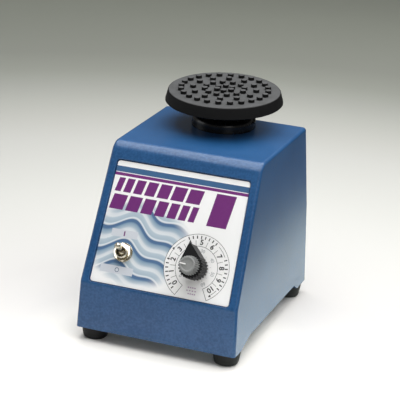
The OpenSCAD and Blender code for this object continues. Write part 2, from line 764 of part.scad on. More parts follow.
board_z = floor_z + standoff_h;
board_y = fy + board_back;
module at_standoffs() {
    for (x = [-1, 1], y = [standoff_in, board_d - standoff_in])
        translate([x * (board_w / 2 - standoff_in), board_y + y, 0]) children();
}
module circuit_board() {
    color([0.1, 0.4, 0.22]) translate([0, board_y + board_d / 2, board_z]) plate(board_w, board_d, 1, board_t);
}
module board_standoffs() {
    color([0.8, 0.8, 0.76]) at_standoffs() translate([0, 0, floor_z]) cylinder(d = standoff_d, h = standoff_h);
}
module heat_sink() {
    fin_t = 1.6;
    pitch = (sink_w - fin_t) / (fins - 1);
    color([0.6, 0.61, 0.63]) translate([board_w / 2 - sink_w - 8, board_y + board_d - sink_d - 2, board_z + board_t]) {
        cube([sink_w, 3, sink_h]);
        for (i = [0:fins - 1]) translate([i * pitch, 0, 0]) cube([fin_t, sink_d, sink_h]);
    }
}
module suppressor_capacitor() {
    color([0.75, 0.62, 0.2]) translate([-board_w / 2 + 14, board_y + board_d - 4 - cap_d / 2, board_z + board_t])
        rotate([0, 90, 0]) translate([-cap_d / 2, 0, 0]) cylinder(d = cap_d, h = cap_l);
}
module terminal_block() {
    color([0.2, 0.45, 0.3]) translate([-terminal_w / 2, board_y + 9, board_z + board_t]) difference() {
        cube([terminal_w, terminal_d, terminal_h]);
        for (i = [0:3]) translate([terminal_w * (i + 0.5) / 4, terminal_d / 2, terminal_h - 3]) cylinder(d = 4, h = 3 + over);
    }
}

module speed_timer_control() {
    color([0.62, 0.58, 0.45]) on_panel(dial_x, label_up + dial_s) difference() {
        union() {
            translate([0, 0, -panel_wall - control_l]) cylinder(d = control_d, h = control_l);
            translate([0, 0, -panel_wall]) cylinder(d = bush_d, h = panel_wall + label_z + nut_t + 0.6);
        }
        translate([0, 0, -panel_wall - control_l / 2]) cylinder(d = tube_d + 2 * shaft_gap, h = control_l);
        translate([0, 0, -panel_wall - control_l / 2 - 4]) cylinder(d = core_d + 2 * shaft_gap, h = control_l);
    }
}
module control_nut() {
    color([0.72, 0.72, 0.7]) on_panel(dial_x, label_up + dial_s) translate([0, 0, label_z]) difference() {
        hex(nut_af, nut_t);
        translate([0, 0, -over]) cylinder(d = bush_d, h = nut_t + 2 * over);
    }
}
module speed_shaft() {
    color([0.75, 0.74, 0.7]) on_panel(dial_x, label_up + dial_s) translate([0, 0, -panel_wall - control_l / 2 + 0.3])
        tube(tube_d, core_d + 2 * shaft_gap, panel_wall + control_l / 2 - 0.3 + knob_end - 3);
}
module timer_shaft() {
    color([0.75, 0.74, 0.7]) on_panel(dial_x, label_up + dial_s) translate([0, 0, -panel_wall - control_l / 2 - 3.7])
        cylinder(d = core_d, h = panel_wall + control_l / 2 + 3.7 + timer_end - 2);
}
module speed_knob() {
    reach = acos(knob_d / 2 / pointer_l);
    roof = knob_z + knob_hollow;
    color([0.09, 0.09, 0.1]) on_panel(dial_x, label_up + dial_s) rotate([0, 0, -pointer_turn]) difference() {
        translate([0, 0, knob_z]) {
            linear_extrude(knob_h) polygon(fluted(knob_d / 2, flutes));
            linear_extrude(knob_h) polygon([[-pointer_tip / 2, pointer_l], for (a = [reach, -reach])
                (knob_d / 2 - flute_h) * [-sin(a), cos(a)], [pointer_tip / 2, pointer_l]]);
        }
        translate([0, 0, knob_z - over]) cylinder(d = knob_d - 2 * flute_h - 2 * knob_skirt, h = knob_hollow + over);
        translate([0, 0, roof - over]) cylinder(d = tube_d, h = knob_end - 3 - roof + over);
        translate([0, 0, knob_z]) cylinder(d = core_d + 1, h = knob_h + over);
    }
}
module timer_knob() {
    chamfer = timer_chamfer;
    color([0.55, 0.57, 0.57]) on_panel(dial_x, label_up + dial_s) rotate([0, 0, -timer_turn]) difference() {
        union() {
            translate([0, 0, timer_z]) linear_extrude(timer_h - chamfer) polygon(fluted(timer_d / 2, flutes));
            translate([0, 0, timer_end - chamfer]) cylinder(d1 = timer_d - 2 * flute_h - 0.4, d2 = timer_face, h = chamfer);
        }
        translate([0, 0, timer_z - over]) cylinder(d = core_d, h = timer_h - 2 + over);
        // groove for the painted line
        translate([-0.4, 0.8, timer_end - 0.3]) cube([0.8, timer_face / 2 - 1.2, 0.3 + over]);
    }
}

module toggle_body() {
    color([0.66, 0.66, 0.66]) on_panel(toggle_x, label_up + toggle_s) difference() {
        union() {
            translate([-toggle_box_w / 2, -toggle_box_h / 2, -panel_wall - toggle_box_d])
                cube([toggle_box_w, toggle_box_h, toggle_box_d]);
            translate([0, 0, -panel_wall]) cylinder(d = toggle_bush_d, h = panel_wall + label_z + toggle_bush_h);
        }
        translate([0, 0, lever_z - lever_l / 2 - 1]) cylinder(d = lever_ball_d + 2 * lever_gap, h = lever_l / 2 + over + toggle_bush_h);
    }
}
module toggle_nut() {
    color([0.75, 0.74, 0.7]) on_panel(toggle_x, label_up + toggle_s) translate([0, 0, toggle_z]) difference() {
        hex(toggle_af, toggle_nut_t);
        translate([0, 0, -over]) cylinder(d = toggle_bush_d, h = toggle_nut_t + 2 * over);
    }
}
module toggle_washer() {
    color([0.75, 0.74, 0.7]) on_panel(toggle_x, label_up + toggle_s) translate([0, 0, label_z])
        tube(toggle_washer_d, toggle_bush_d, toggle_washer_t);
}
module toggle_lever() {
    color([0.85, 0.84, 0.8]) on_panel(toggle_x, label_up + toggle_s) translate([0, 0, lever_z]) rotate([-lever_lean, 0, 0]) {
        sphere(d = lever_ball_d);
        cylinder(d1 = lever_neck_d, d2 = lever_end_d, h = lever_l - lever_end_d / 2);
        translate([0, 0, lever_l - lever_end_d / 2]) sphere(d = lever_end_d);
        translate([0, 0, -lever_l / 2 + 2.5]) cylinder(d = lever_neck_d - 1, h = lever_l / 2);
    }
}

module guide_posts() {
    color([0.75, 0.76, 0.78]) at_posts() {
        translate([0, 0, base_z]) cylinder(d = post_d - 2, h = base_t);
        translate([0, 0, floor_z]) cylinder(d = post_d, h = low_z + bracket_t + stop_gap + clip_t + 2 - floor_z);
    }
}
module post_clips() {
    color([0.3, 0.3, 0.32]) at_posts() translate([0, 0, low_z + bracket_t + stop_gap]) tube(clip_d, post_d, clip_t);
}
function spring_z(t, h) = let(dead = 0.9 / spring_turns, w = wire_d * 1.02,
    rise = h - wire_d - 2 * dead * spring_turns * w)
    t < dead ? t * spring_turns * w :
    t > 1 - dead ? h - wire_d - (1 - t) * spring_turns * w :
    dead * spring_turns * w + rise * (t - dead) / (1 - 2 * dead);
module coil_spring(mean, h) {
    rings = 14 * spring_turns;
    sides = 6;
    wr = wire_d / 2;
    pts = [for (i = [0:rings]) let(t = i / rings, a = 360 * spring_turns * t)
        for (j = [0:sides - 1]) let(b = 360 * j / sides + 30)
            [(mean / 2 + wr * cos(b)) * cos(a), (mean / 2 + wr * cos(b)) * sin(a), wr + spring_z(t, h) + wr * sin(b)]];
    faces = concat([[for (j = [0:sides - 1]) j]],
        [for (i = [0:rings - 1], j = [0:sides - 1]) let(k = (j + 1) % sides)
            [i * sides + j, (i + 1) * sides + j, (i + 1) * sides + k, i * sides + k]],
        [[for (j = [sides - 1:-1:0]) rings * sides + j]]);
    polyhedron(pts, faces);
}
module press_springs() {
    color([0.8, 0.8, 0.82]) at_posts() translate([0, 0, floor_z + 0.02]) coil_spring(coil_mean_d, low_z - floor_z - 0.04);
}
tongue_y = axis_y - core_w / 2 - tongue_l + touch_d / 2 + 1;
module touch_switch() {
    color([0.15, 0.15, 0.17]) translate([-touch_w / 2, tongue_y - touch_d / 2, floor_z]) difference() {
        cube([touch_w, touch_d, touch_h]);
        translate([touch_w / 2, touch_d / 2, touch_h / 2 - press]) cylinder(d = plunger_d + 2 * post_gap, h = touch_h);
    }
}
module switch_plunger() {
    color([0.75, 0.2, 0.18]) translate([0, tongue_y, floor_z + touch_h / 2])
        cylinder(d = plunger_d, h = low_z - stop_gap - floor_z - touch_h / 2);
}

module bracket_plate(bush_up) {
    difference() {
        union() {
            plate(core_w, core_w, 6, bracket_t);
            children();
            translate([0, 0, bush_up ? 0 : bracket_t - bearing_l]) cylinder(d = bearing_d + 5, h = bearing_l);
        }
        translate([0, 0, -bearing_l]) cylinder(d = bearing_d, h = 3 * bearing_l);
        at_bolts() translate([0, 0, -over]) cylinder(d = bolt_d, h = bracket_t + 2 * over);
    }
}
module lower_bracket() {
    color([0.62, 0.64, 0.66]) difference() {
        on_axis(low_z) bracket_plate(false) {
            plate(ear_w, 2 * post_y + 16, 6, bracket_t);
            translate([-tongue_w / 2, -core_w / 2 - tongue_l, 0]) cube([tongue_w, tongue_l + 2, bracket_t]);
        }
        at_posts() translate([0, 0, low_z - over]) cylinder(d = post_d + 2 * post_gap, h = bracket_t + 2 * over);
    }
}
module upper_bracket() {
    color([0.62, 0.64, 0.66]) on_axis(high_z) bracket_plate(true);
}
module motor_bearings() {
    color([0.72, 0.5, 0.25]) {
        on_axis(low_z + bracket_t - bearing_l) tube(bearing_d, shaft_d + 2 * run_gap, bearing_l);
        on_axis(high_z) tube(bearing_d, shaft_d + 2 * run_gap, bearing_l);
    }
}
module stator_core() {
    color([0.35, 0.36, 0.38]) on_axis(core_z) difference() {
        plate(core_w, core_w, 6, core_h);
        translate([0, 0, -over]) cylinder(d = bore_d, h = core_h + 2 * over);
        at_bolts() translate([0, 0, -over]) cylinder(d = bolt_d, h = core_h + 2 * over);
    }
}
module stator_windings() {
    color([0.7, 0.36, 0.15]) for (z = [core_z - coil_h, core_end]) on_axis(z) tube(coil_d, bore_d + 4, coil_h);
}
module motor_bolts() {
    color([0.7, 0.7, 0.72]) on_axis(low_z) at_bolts() {
        translate([0, 0, -bolt_head_h]) hex(bolt_af, bolt_head_h);
        cylinder(d = bolt_d, h = top_z + bracket_t + bolt_head_h + 0.5 - low_z);
    }
}
module motor_nuts() {
    color([0.7, 0.7, 0.72]) on_axis(top_z + bracket_t) at_bolts() difference() {
        hex(bolt_af, bolt_head_h);
        translate([0, 0, -over]) cylinder(d = bolt_d, h = bolt_head_h + 2 * over);
    }
}
module short_spacers() {
    color([0.78, 0.76, 0.6]) for (z = [low_z + bracket_t, core_end]) on_axis(z) at_bolts() tube(spacer_d, bolt_d, bracket_gap);
}
module long_spacers() {
    color([0.78, 0.76, 0.6]) on_axis(high_z + bracket_t) at_bolts() tube(spacer_d, bolt_d, top_z - high_z - bracket_t);
}
module at_socket_screws() { for (a = [45:90:315]) rotate(a) translate([socket_pcd / 2, 0, 0]) children(); }
module top_bracket() {
    color([0.62, 0.64, 0.66]) on_axis(top_z) difference() {
        plate(top_bracket_w, top_bracket_w, 4, bracket_t);
        translate([0, 0, -over]) cylinder(d = ball_d, h = bracket_t + 2 * over);
        at_bolts() translate([0, 0, -over]) cylinder(d = bolt_d, h = bracket_t + 2 * over);
        at_socket_screws() translate([0, 0, -over]) cylinder(d = socket_screw_d, h = bracket_t + 2 * over);
    }
}
module ball_socket() {
    color([0.9, 0.88, 0.8]) on_axis(ball_z) difference() {
        translate([0, 0, -socket_t]) cylinder(d = socket_d, h = 2 * socket_t);
        sphere(d = ball_d + 2 * ball_gap);
        at_socket_screws() translate([0, 0, -socket_t - over]) cylinder(d = socket_screw_d, h = 2 * socket_t + 2 * over);
    }
}
module socket_screws() {
    color([0.7, 0.7, 0.72]) on_axis(ball_z) at_socket_screws() {
        translate([0, 0, socket_t]) cylinder(d = socket_head_d, h = 1.6);
        translate([0, 0, -socket_t - bracket_t]) cylinder(d = socket_screw_d, h = 2 * socket_t + bracket_t);
    }
}

module motor_shaft() {
    color([0.75, 0.76, 0.78]) on_axis(fan_z - 1) cylinder(d = shaft_d, h = ball_z - shaft_end - fan_z + 1);
}
module rotor_core() {
    color([0.45, 0.46, 0.48]) difference() {
        union() {
            on_axis(core_z) cylinder(d = bore_d - 2 * air_gap, h = core_h);
            on_axis(core_z - end_ring_h) cylinder(d = end_ring_d, h = core_h + 2 * end_ring_h);
        }
        on_axis(core_z - end_ring_h - over) cylinder(d = shaft_d, h = core_h + 2 * end_ring_h + 2 * over);
    }
}
module cooling_fan() {
    color([0.2, 0.2, 0.22]) on_axis(fan_z) difference() {
        union() {
            cylinder(d = fan_hub_d, h = fan_h);
            intersection() {
                cylinder(d = fan_d, h = fan_h);
                for (i = [0:fan_blades - 1]) rotate(360 * i / fan_blades) translate([0, 0, fan_h / 2]) rotate([fan_pitch, 0, 0])
                    translate([fan_hub_d / 2 - 1.5, -fan_blade_t / 2, -fan_h]) cube([fan_d / 2, fan_blade_t, 2 * fan_h]);
            }
        }
        translate([0, 0, -over]) cylinder(d = shaft_d, h = fan_h + 2 * over);
    }
}
crank_z = ball_z - crank_low;
crank_h = crank_low - crank_top;
weight_z = 3;
module crank_hub() {
    color([0.55, 0.56, 0.58]) difference() {
        on_axis(crank_z) cylinder(d = crank_d, h = crank_h);
        on_axis(crank_z - over) cylinder(d = shaft_d, h = crank_low - shaft_end + over);
        on_stem() translate([0, 0, -stem_end - 0.8]) cylinder(d = crank_bearing_d, h = crank_h);
        on_axis(crank_z + weight_z + weight_h / 2 - 1.5) rotate([-90, 0, 0]) cylinder(d = set_d, h = crank_d);
        on_axis(crank_z + weight_z + weight_h / 2 - 1.5) rotate([90, 0, 0]) cylinder(d = set_d, h = crank_d);
    }
}
module crank_bearing() {
    color([0.72, 0.5, 0.25]) on_stem() translate([0, 0, -crank_top - crank_bearing_l - 0.4])
        tube(crank_bearing_d, stem_d + 2 * run_gap, crank_bearing_l);
}
module counterweight() {
    color([0.5, 0.5, 0.52]) on_axis(crank_z + weight_z) difference() {
        intersection() {
            cylinder(d = crank_d + 2 * weight_t, h = weight_h);
            linear_extrude(weight_h) polygon([[0, 0], for (i = [-3:3]) let(a = 90 + weight_arc / 6 * i) 2 * crank_d * [cos(a), sin(a)]]);
        }
        translate([0, 0, -over]) cylinder(d = crank_d, h = weight_h + 2 * over);
        translate([0, 0, weight_h / 2 - 1.5]) rotate([-90, 0, 0]) cylinder(d = set_d, h = crank_d + weight_t);
    }
}
module crank_screws() {
    color([0.3, 0.3, 0.32]) on_axis(crank_z + weight_z + weight_h / 2 - 1.5) {
        rotate([90, 0, 0]) translate([0, 0, shaft_d / 2]) cylinder(d = set_d, h = set_l);
        rotate([-90, 0, 0]) translate([0, 0, shaft_d / 2]) cylinder(d = set_d, h = crank_d / 2 + weight_t - shaft_d / 2);
    }
}

plate_z = face_up - cover_t - plate_t;
stem_top = plate_z;
module head_stem() {
    color([0.75, 0.76, 0.78]) on_stem() difference() {
        translate([0, 0, -stem_end]) cylinder(d = stem_d, h = stem_end + stem_top);
        translate([0, 0, stem_top - 12]) cylinder(d = plate_screw_d, h = 12 + over);
    }
}
module swivel_ball() {
    color([0.8, 0.81, 0.83]) on_stem() difference() {
        intersection() {
            sphere(d = ball_d);
            translate([0, 0, -ball_d / 2 + 1.2]) cylinder(d = ball_d + over, h = ball_d - 2.4);
        }
        translate([0, 0, -ball_d]) cylinder(d = stem_d, h = 2 * ball_d);
    }
}
module head_hub() {
    color([0.05, 0.05, 0.06]) on_stem() difference() {
        rotate_extrude() polygon([[stem_d / 2, hub_low], [hub_d / 2, hub_low], [hub_d / 2, hub_flare],
            [hub_top_d / 2, plate_z - 3], [hub_top_d / 2, plate_z], [stem_d / 2, plate_z]]);
        // relief over the ball's socket screws
        translate([0, 0, hub_low - over]) cylinder(d = hub_d - 8, h = over + 1.5);
    }
}
module head_plate() {
    color([0.7, 0.71, 0.73]) on_stem() translate([0, 0, plate_z]) tube(plate_d, plate_screw_d, plate_t);
}
module plate_screw() {
    color([0.7, 0.7, 0.72]) on_stem() {
        translate([0, 0, plate_z + plate_t]) cylinder(d = plate_screw_head, h = 1.4);
        translate([0, 0, plate_z - 11]) cylinder(d = plate_screw_d, h = 11 + plate_t);
    }
}
module rubber_cover() {
    in_r = plate_d / 2;
    color([0.16, 0.16, 0.17]) on_stem() {
        difference() {
            rotate_extrude() polygon([[0, face_up], [cover_face_d / 2 - cover_round, face_up],
                for (i = [1:5]) let(a = 15 * i) [cover_face_d / 2 - cover_round + cover_round * sin(a), face_up - cover_round + cover_round * cos(a)],
                [cover_d / 2, face_up - cover_h], [cover_d / 2 - 2.4, face_up - cover_h],
                [in_r - lip_w, plate_z - lip_t], [in_r - lip_w, plate_z], [in_r, plate_z],
                [in_r, plate_z + plate_t], [0, plate_z + plate_t]]);
            translate([0, 0, plate_z]) cylinder(d = plate_screw_head + 1, h = plate_t + 1.7);
        }
        for (k = [0:len(nub_counts) - 1], i = [0:nub_counts[k] - 1])
            rotate(nub_turns[k] + 360 * i / nub_counts[k]) translate([nub_ring + k * nub_pitch, 0, face_up - over])
                cylinder(d = nub_d, h = over + nub_h, $fn = 32);
    }
}

housing();
base_plate();
feet();
foot_screws();
front_label();
top_collar();
mains_inlet();
inlet_pins();
inlet_screws();
circuit_board();
board_standoffs();
heat_sink();
suppressor_capacitor();
terminal_block();
speed_timer_control();
control_nut();
toggle_body();
toggle_nut();
toggle_washer();
guide_posts();
post_clips();
press_springs();
touch_switch();
lower_bracket();
upper_bracket();
top_bracket();
stator_core();
stator_windings();
motor_bolts();
motor_nuts();
short_spacers();
long_spacers();
motor_bearings();
ball_socket();
socket_screws();
motor_shaft();
rotor_core();
cooling_fan();
crank_hub();
crank_bearing();
counterweight();
crank_screws();
head_stem();
swivel_ball();
head_hub();
head_plate();
plate_screw();
rubber_cover();
switch_plunger();
toggle_lever();
speed_knob();
speed_shaft();
timer_knob();
timer_shaft();
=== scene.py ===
import math
import bpy
import bmesh
from mathutils import Matrix, Vector


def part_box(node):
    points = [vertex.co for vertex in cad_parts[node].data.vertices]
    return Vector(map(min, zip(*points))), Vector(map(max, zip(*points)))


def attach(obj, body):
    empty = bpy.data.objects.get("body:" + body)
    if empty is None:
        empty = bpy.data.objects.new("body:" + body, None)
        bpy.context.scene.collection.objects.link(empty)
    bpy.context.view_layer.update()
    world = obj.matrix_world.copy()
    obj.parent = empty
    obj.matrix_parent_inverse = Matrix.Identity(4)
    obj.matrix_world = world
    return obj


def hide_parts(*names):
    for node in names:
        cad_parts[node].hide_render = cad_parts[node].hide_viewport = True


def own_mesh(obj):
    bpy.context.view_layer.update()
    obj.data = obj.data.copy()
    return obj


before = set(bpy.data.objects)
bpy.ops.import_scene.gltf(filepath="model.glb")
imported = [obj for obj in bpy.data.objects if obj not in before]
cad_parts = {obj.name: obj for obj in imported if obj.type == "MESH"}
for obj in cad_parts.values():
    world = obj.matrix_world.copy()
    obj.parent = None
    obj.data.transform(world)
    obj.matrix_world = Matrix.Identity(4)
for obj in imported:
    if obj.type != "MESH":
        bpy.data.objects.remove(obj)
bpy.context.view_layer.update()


# ---- Camera ----
# A long lens on a full-frame body, in front of the mixer, to its right and above it. It looks
# down at the front panel and is rolled a little to the side.
def spin(angle, about):
    """A turn by an angle in degrees about X, Y or Z."""
    return Matrix.Rotation(math.radians(angle), 4, about)


camera_spot = (0.40157, -1.11714, 0.5142)
turn, dip, roll = 19.738, 19.559, 3.085
bpy.ops.object.camera_add()
camera = bpy.context.object
camera.matrix_world = (Matrix.Translation(camera_spot) @ spin(turn, "Z")
                       @ spin(90 - dip, "X") @ spin(roll, "Z"))
camera.data.sensor_width = 36
camera.data.lens = 154.218
bpy.context.scene.camera = camera
bpy.context.scene.view_settings.view_transform = "Standard"


# ---- Studio ----
# A wide sheet of white paper lies under the mixer and sweeps up far behind it. One softbox
# hangs over it, two weak ones stand at its left and right, and the room gives the rest.
class Wire:
    """A shader socket that can be added to, multiplied and compared like a number."""

    def __init__(self, tree, socket):
        self.tree, self.socket = tree, socket

    def node(self, kind, settings, inputs, output=0):
        made = self.tree.nodes.new(kind)
        for name, value in settings.items():
            if name == "stops":
                elements = made.color_ramp.elements
                for place, colour in value[1:-1]:
                    elements.new(place)
                for element, (place, colour) in zip(elements, value):
                    element.position, element.color = place, (*paint(*colour), 1)
            else:
                setattr(made, name, value)
        for name, value in inputs.items():
            if isinstance(value, Wire):
                self.tree.links.new(value.socket, made.inputs[name])
            else:
                made.inputs[name].default_value = value
        return Wire(self.tree, made.outputs[output])

    def maths(self, operation, *values):
        return self.node("ShaderNodeMath", {"operation": operation}, dict(enumerate(values)))

    def single(self, operation):
        return self.maths(operation, self)

    def __add__(self, other): return self.maths("ADD", self, other)
    def __radd__(self, other): return self.maths("ADD", other, self)
    def __sub__(self, other): return self.maths("SUBTRACT", self, other)
    def __rsub__(self, other): return self.maths("SUBTRACT", other, self)
    def __mul__(self, other): return self.maths("MULTIPLY", self, other)
    def __rmul__(self, other): return self.maths("MULTIPLY", other, self)
    def __truediv__(self, other): return self.maths("DIVIDE", self, other)
    def __gt__(self, other): return self.maths("GREATER_THAN", self, other)
    def __lt__(self, other): return self.maths("LESS_THAN", self, other)

    def ease(self, low, high):
        """0 below low, 1 above high and a soft rise between them."""
        return self.node("ShaderNodeMapRange", {"interpolation_type": "SMOOTHSTEP"},
                         {"Value": self, "From Min": low, "From Max": high})

    def noise(self, scale, detail=2.0):
        return self.node("ShaderNodeTexNoise", {},
                         {"Vector": self, "Scale": scale, "Detail": detail})

    def blend(self, first, second):
        """first where the wire is 0, second where it is 1: light as red, green, blue, or wires."""
        ends = {name: end if isinstance(end, Wire) else (*end, 1)
                for name, end in ((6, first), (7, second))}
        return self.node("ShaderNodeMix", {"data_type": "RGBA"}, {0: self, **ends}, 2)

    def ramp(self, *stops):
        """A colour that runs through stops, each a place from 0 to 1 and a card colour."""
        return self.node("ShaderNodeValToRGB", {"stops": stops}, {0: self})

    def parts(self):
        split = self.node("ShaderNodeSeparateXYZ", {}, {0: self}).socket.node
        return [Wire(self.tree, output) for output in split.outputs]


def paint(red, green, blue):
    """A colour from a paint card, 0 to 255, as light."""
    return tuple(part / 255 / 12.92 if part < 10.3 else ((part / 255 + 0.055) / 1.055) ** 2.4
                 for part in (red, green, blue))


mm = 0.001


class Finish:
    """A material: the place and the direction of its surface, and its shader's sockets."""

    def __init__(self, name):
        self.material = bpy.data.materials.new(name)
        self.material.use_nodes = True
        self.tree = self.material.node_tree
        surface = self.tree.nodes.new("ShaderNodeTexCoord")
        self.place = Wire(self.tree, surface.outputs["Object"])
        self.outward = Wire(self.tree, surface.outputs["Normal"])

    def feed(self, **sockets):
        shader = self.tree.nodes["Principled BSDF"]
        for name, value in sockets.items():
            socket = shader.inputs[name.replace("_", " ")]
            if isinstance(value, Wire):
                self.tree.links.new(value.socket, socket)
            else:
                socket.default_value = (*value, 1) if isinstance(value, tuple) else value

    def grain(self, height, strength, depth):
        """A fine relief of the surface, its depth in millimetres."""
        self.feed(Normal=self.place.node("ShaderNodeBump", {}, {
            "Height": height, "Strength": strength, "Distance": depth * mm}))


def pick(kind, wanted):
    """Selects the corners, edges or faces that are wanted, in the mesh being edited."""
    bpy.ops.mesh.select_mode(type=kind)
    bpy.ops.mesh.select_all(action="DESELECT")
    mesh = bpy.context.edit_object.data
    shape = bmesh.from_edit_mesh(mesh)
    shape.normal_update()
    parts = {"VERT": shape.verts, "EDGE": shape.edges, "FACE": shape.faces}[kind]
    chosen = [part for part in parts if wanted(part)]
    for part in chosen:
        part.select_set(True)
    spots = [part.co.copy() for part in chosen] if kind == "VERT" else []
    bmesh.update_edit_mesh(mesh)
    return spots


# The paper's colour is painted darker with the distance from the mixer: a painted falloff of
# the light. Two painted reflections show only mirrored in the coat: painted shade on the paper
# to the right, and a painted glow on the paper close to the mixer, which shines though it is no
# lamp.
sheet_half, sweep_radius, backdrop = 10, 0.8, 2
paper = Finish("studio_paper")
east, north, up = paper.place.parts()
away = (east * east + (north + 0.06) * (north + 0.06)).single("SQRT")
painted_falloff_tone = (away / 1.2).ramp(
    (0.0, (250, 249, 246)), (0.071, (250, 249, 246)), (0.092, (231, 230, 229)),
    (0.1125, (223, 222, 221)), (0.142, (214, 213, 212)), (0.20, (208, 208, 206)),
    (0.296, (201, 202, 199)), (0.367, (196, 197, 194)), (0.408, (193, 194, 191)),
    (0.458, (187, 188, 184)), (0.517, (178, 180, 175)), (0.567, (168, 170, 165)),
    (0.617, (157, 160, 153)), (0.683, (151, 154, 147)), (0.875, (158, 162, 153)))
in_gloss = paper.place.node("ShaderNodeLightPath", {}, {}, "Is Glossy Ray")
# Painted shade seen only in reflections: the paper turns dark to the right of the mixer.
painted_dark_reflection = 0.9 * in_gloss * east.ease(0.09, 0.145)
# Painted glow seen only in reflections: the paper just right of the mixer shines.
painted_glow_band = east.ease(0.03, 0.07) * (1 - east.ease(0.10, 0.15))
painted_glow_reflection = in_gloss * painted_glow_band * (1 - away.ease(0.32, 0.48))
paper.feed(Base_Color=(1 - painted_dark_reflection).blend((0, 0, 0), painted_falloff_tone), Roughness=0.9, Specular_IOR_Level=0.1,
           Emission_Color=painted_glow_reflection.blend((0, 0, 0), (0.42, 0.54, 0.46)), Emission_Strength=1.0)
bpy.ops.object.select_all(action="DESELECT")
bpy.ops.mesh.primitive_plane_add(size=2 * sheet_half)
sheet = bpy.context.object
sheet.name = "studio_sheet"
bpy.ops.object.mode_set(mode="EDIT")
pick("EDGE", lambda edge: all(corner.co.y > sheet_half - 0.1 for corner in edge.verts))
bpy.ops.mesh.spin(steps=12, angle=math.radians(-90), center=(0, sheet_half, sweep_radius),
                  axis=(1, 0, 0))
bpy.ops.mesh.extrude_edges_move(TRANSFORM_OT_translate={"value": (0, 0, backdrop)})
bpy.ops.object.mode_set(mode="OBJECT")
bpy.ops.object.shade_smooth()
sheet.data.materials.append(paper.material)

for name, spot, aim, size, power, colour in (
        ("overhead_softbox", (0.12, 0.05, 0.85), (0.02, 0, 0.1), 1.2, 17.0, (1.0, 0.99, 0.97)),
        ("left_softbox", (-1.4, -0.4, 0.6), (0, 0, 0.1), 0.9, 2.4, (0.95, 0.98, 1.0)),
        ("right_softbox", (0.95, -1.2, 0.85), (0, 0, 0.1), 0.8, 2.0, (1.0, 0.99, 0.98))):
    bpy.ops.object.light_add(type="AREA", location=spot)
    lamp = bpy.context.object
    lamp.name = name
    lamp.rotation_euler = (Vector(aim) - Vector(spot)).to_track_quat("-Z", "Y").to_euler()
    lamp.data.size, lamp.data.energy, lamp.data.color = size, power, colour
room = bpy.data.worlds.new("room")
room.use_nodes = True
daylight = room.node_tree.nodes["Background"].inputs
daylight["Color"].default_value = (1.0, 0.99, 0.95, 1)
daylight["Strength"].default_value = 0.14
bpy.context.scene.world = room


# ---- Housing ----
# One pressed and welded steel shell, open underneath, in a fine textured blue powder coat. Its
# front leans back from a short upright chin and has a recess for the label, and four ribbed
# bosses inside carry the feet. Sizes from here on are millimetres.
housing_low, housing_high = (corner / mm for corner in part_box("housing"))
chin, rear, floor, roof = housing_low.y, housing_high.y, housing_low.z, housing_high.z
half_width, middle = housing_high.x, (chin + rear) / 2
chin_top, chin_lean, top_front, top_rear = 45, 2, chin + 48.5, chin + 151
bend, bend_lean, side_lean = 74, 3, 4
brow_round, chin_round, bend_round, edge_round = 10, 1.4, 1.2, 2.5
wall, panel_wall = 2.5, 4
axis = chin + 124
slope = math.atan2(top_front - chin - chin_lean, roof - chin_top)


def shift(across, along, up):
    return Matrix.Translation((across * mm, along * mm, up * mm))


def take(*pieces):
    """Selects pieces and makes the first of them the one that is worked on."""
    bpy.ops.object.select_all(action="DESELECT")
    for piece in pieces:
        piece.select_set(True)
    bpy.context.view_layer.objects.active = pieces[0]


def set_down(piece, spot):
    """Puts a piece in its place and leaves the place in its mesh."""
    take(piece)
    piece.matrix_world = spot
    bpy.ops.object.transform_apply(location=True, rotation=True, scale=True)
    return piece


def finish_mesh(piece, spot):
    """Turns every face outwards and sets the piece down."""
    bpy.ops.mesh.select_all(action="SELECT")
    bpy.ops.mesh.normals_make_consistent(inside=False)
    bpy.ops.object.mode_set(mode="OBJECT")
    return set_down(piece, spot)


def slab(name, outline, low, high, spot=Matrix()):
    """A flat piece cut to an outline and drawn up from one height to another."""
    bpy.ops.object.select_all(action="DESELECT")
    bpy.ops.mesh.primitive_circle_add(vertices=len(outline), radius=10 * mm, fill_type="NGON")
    piece = bpy.context.object
    piece.name = piece.data.name = name
    bpy.ops.object.mode_set(mode="EDIT")
    for number, (across, along) in enumerate(outline):
        corner = pick("VERT", lambda part: part.index == number)[0]
        place = Vector((across * mm, along * mm, low * mm))
        bpy.ops.transform.translate(value=place - corner)
    bpy.ops.mesh.select_mode(type="FACE")
    bpy.ops.mesh.select_all(action="SELECT")
    bpy.ops.mesh.extrude_region_move(TRANSFORM_OT_translate={"value": (0, 0, (high - low) * mm)})
    return finish_mesh(piece, spot)


def rectangle(left, right, near, far):
    return [(left, near), (right, near), (right, far), (left, far)]


def turned(name, rings, sides=96, spot=Matrix(), bored=False):
    """A piece turned on its axis, drawn out from ring to ring, each a radius and a height. A
    bored one has a hole through it, and its last ring is joined to its first."""
    bpy.ops.object.select_all(action="DESELECT")
    bpy.ops.mesh.primitive_circle_add(vertices=sides, radius=rings[0][0] * mm,
                                      fill_type="NOTHING" if bored else "NGON")
    piece = bpy.context.object
    piece.name = piece.data.name = name
    bpy.ops.object.mode_set(mode="EDIT")
    bpy.ops.mesh.select_mode(type="EDGE" if bored else "FACE")
    bpy.ops.mesh.select_all(action="SELECT")
    bpy.ops.transform.translate(value=(0, 0, rings[0][1] * mm))
    draw = bpy.ops.mesh.extrude_edges_move if bored else bpy.ops.mesh.extrude_region_move
    following = rings[1:] + rings[:1] if bored else rings[1:]
    for (last, below), (radius, height) in zip(rings, following):
        draw(TRANSFORM_OT_translate={"value": (0, 0, (height - below) * mm)})
        bpy.ops.transform.resize(value=(radius / last, radius / last, 1),
                                 center_override=(0, 0, height * mm))
    bpy.ops.mesh.select_all(action="SELECT")
    bpy.ops.mesh.remove_doubles(threshold=1e-7)
    return finish_mesh(piece, spot)


def fit(piece, kind, **settings):
    """Adds a modifier and applies it."""
    take(piece)
    added = piece.modifiers.new(kind.lower(), kind)
    for name, value in settings.items():
        setattr(added, name, value)
    bpy.ops.object.modifier_apply(modifier=added.name)
    return piece


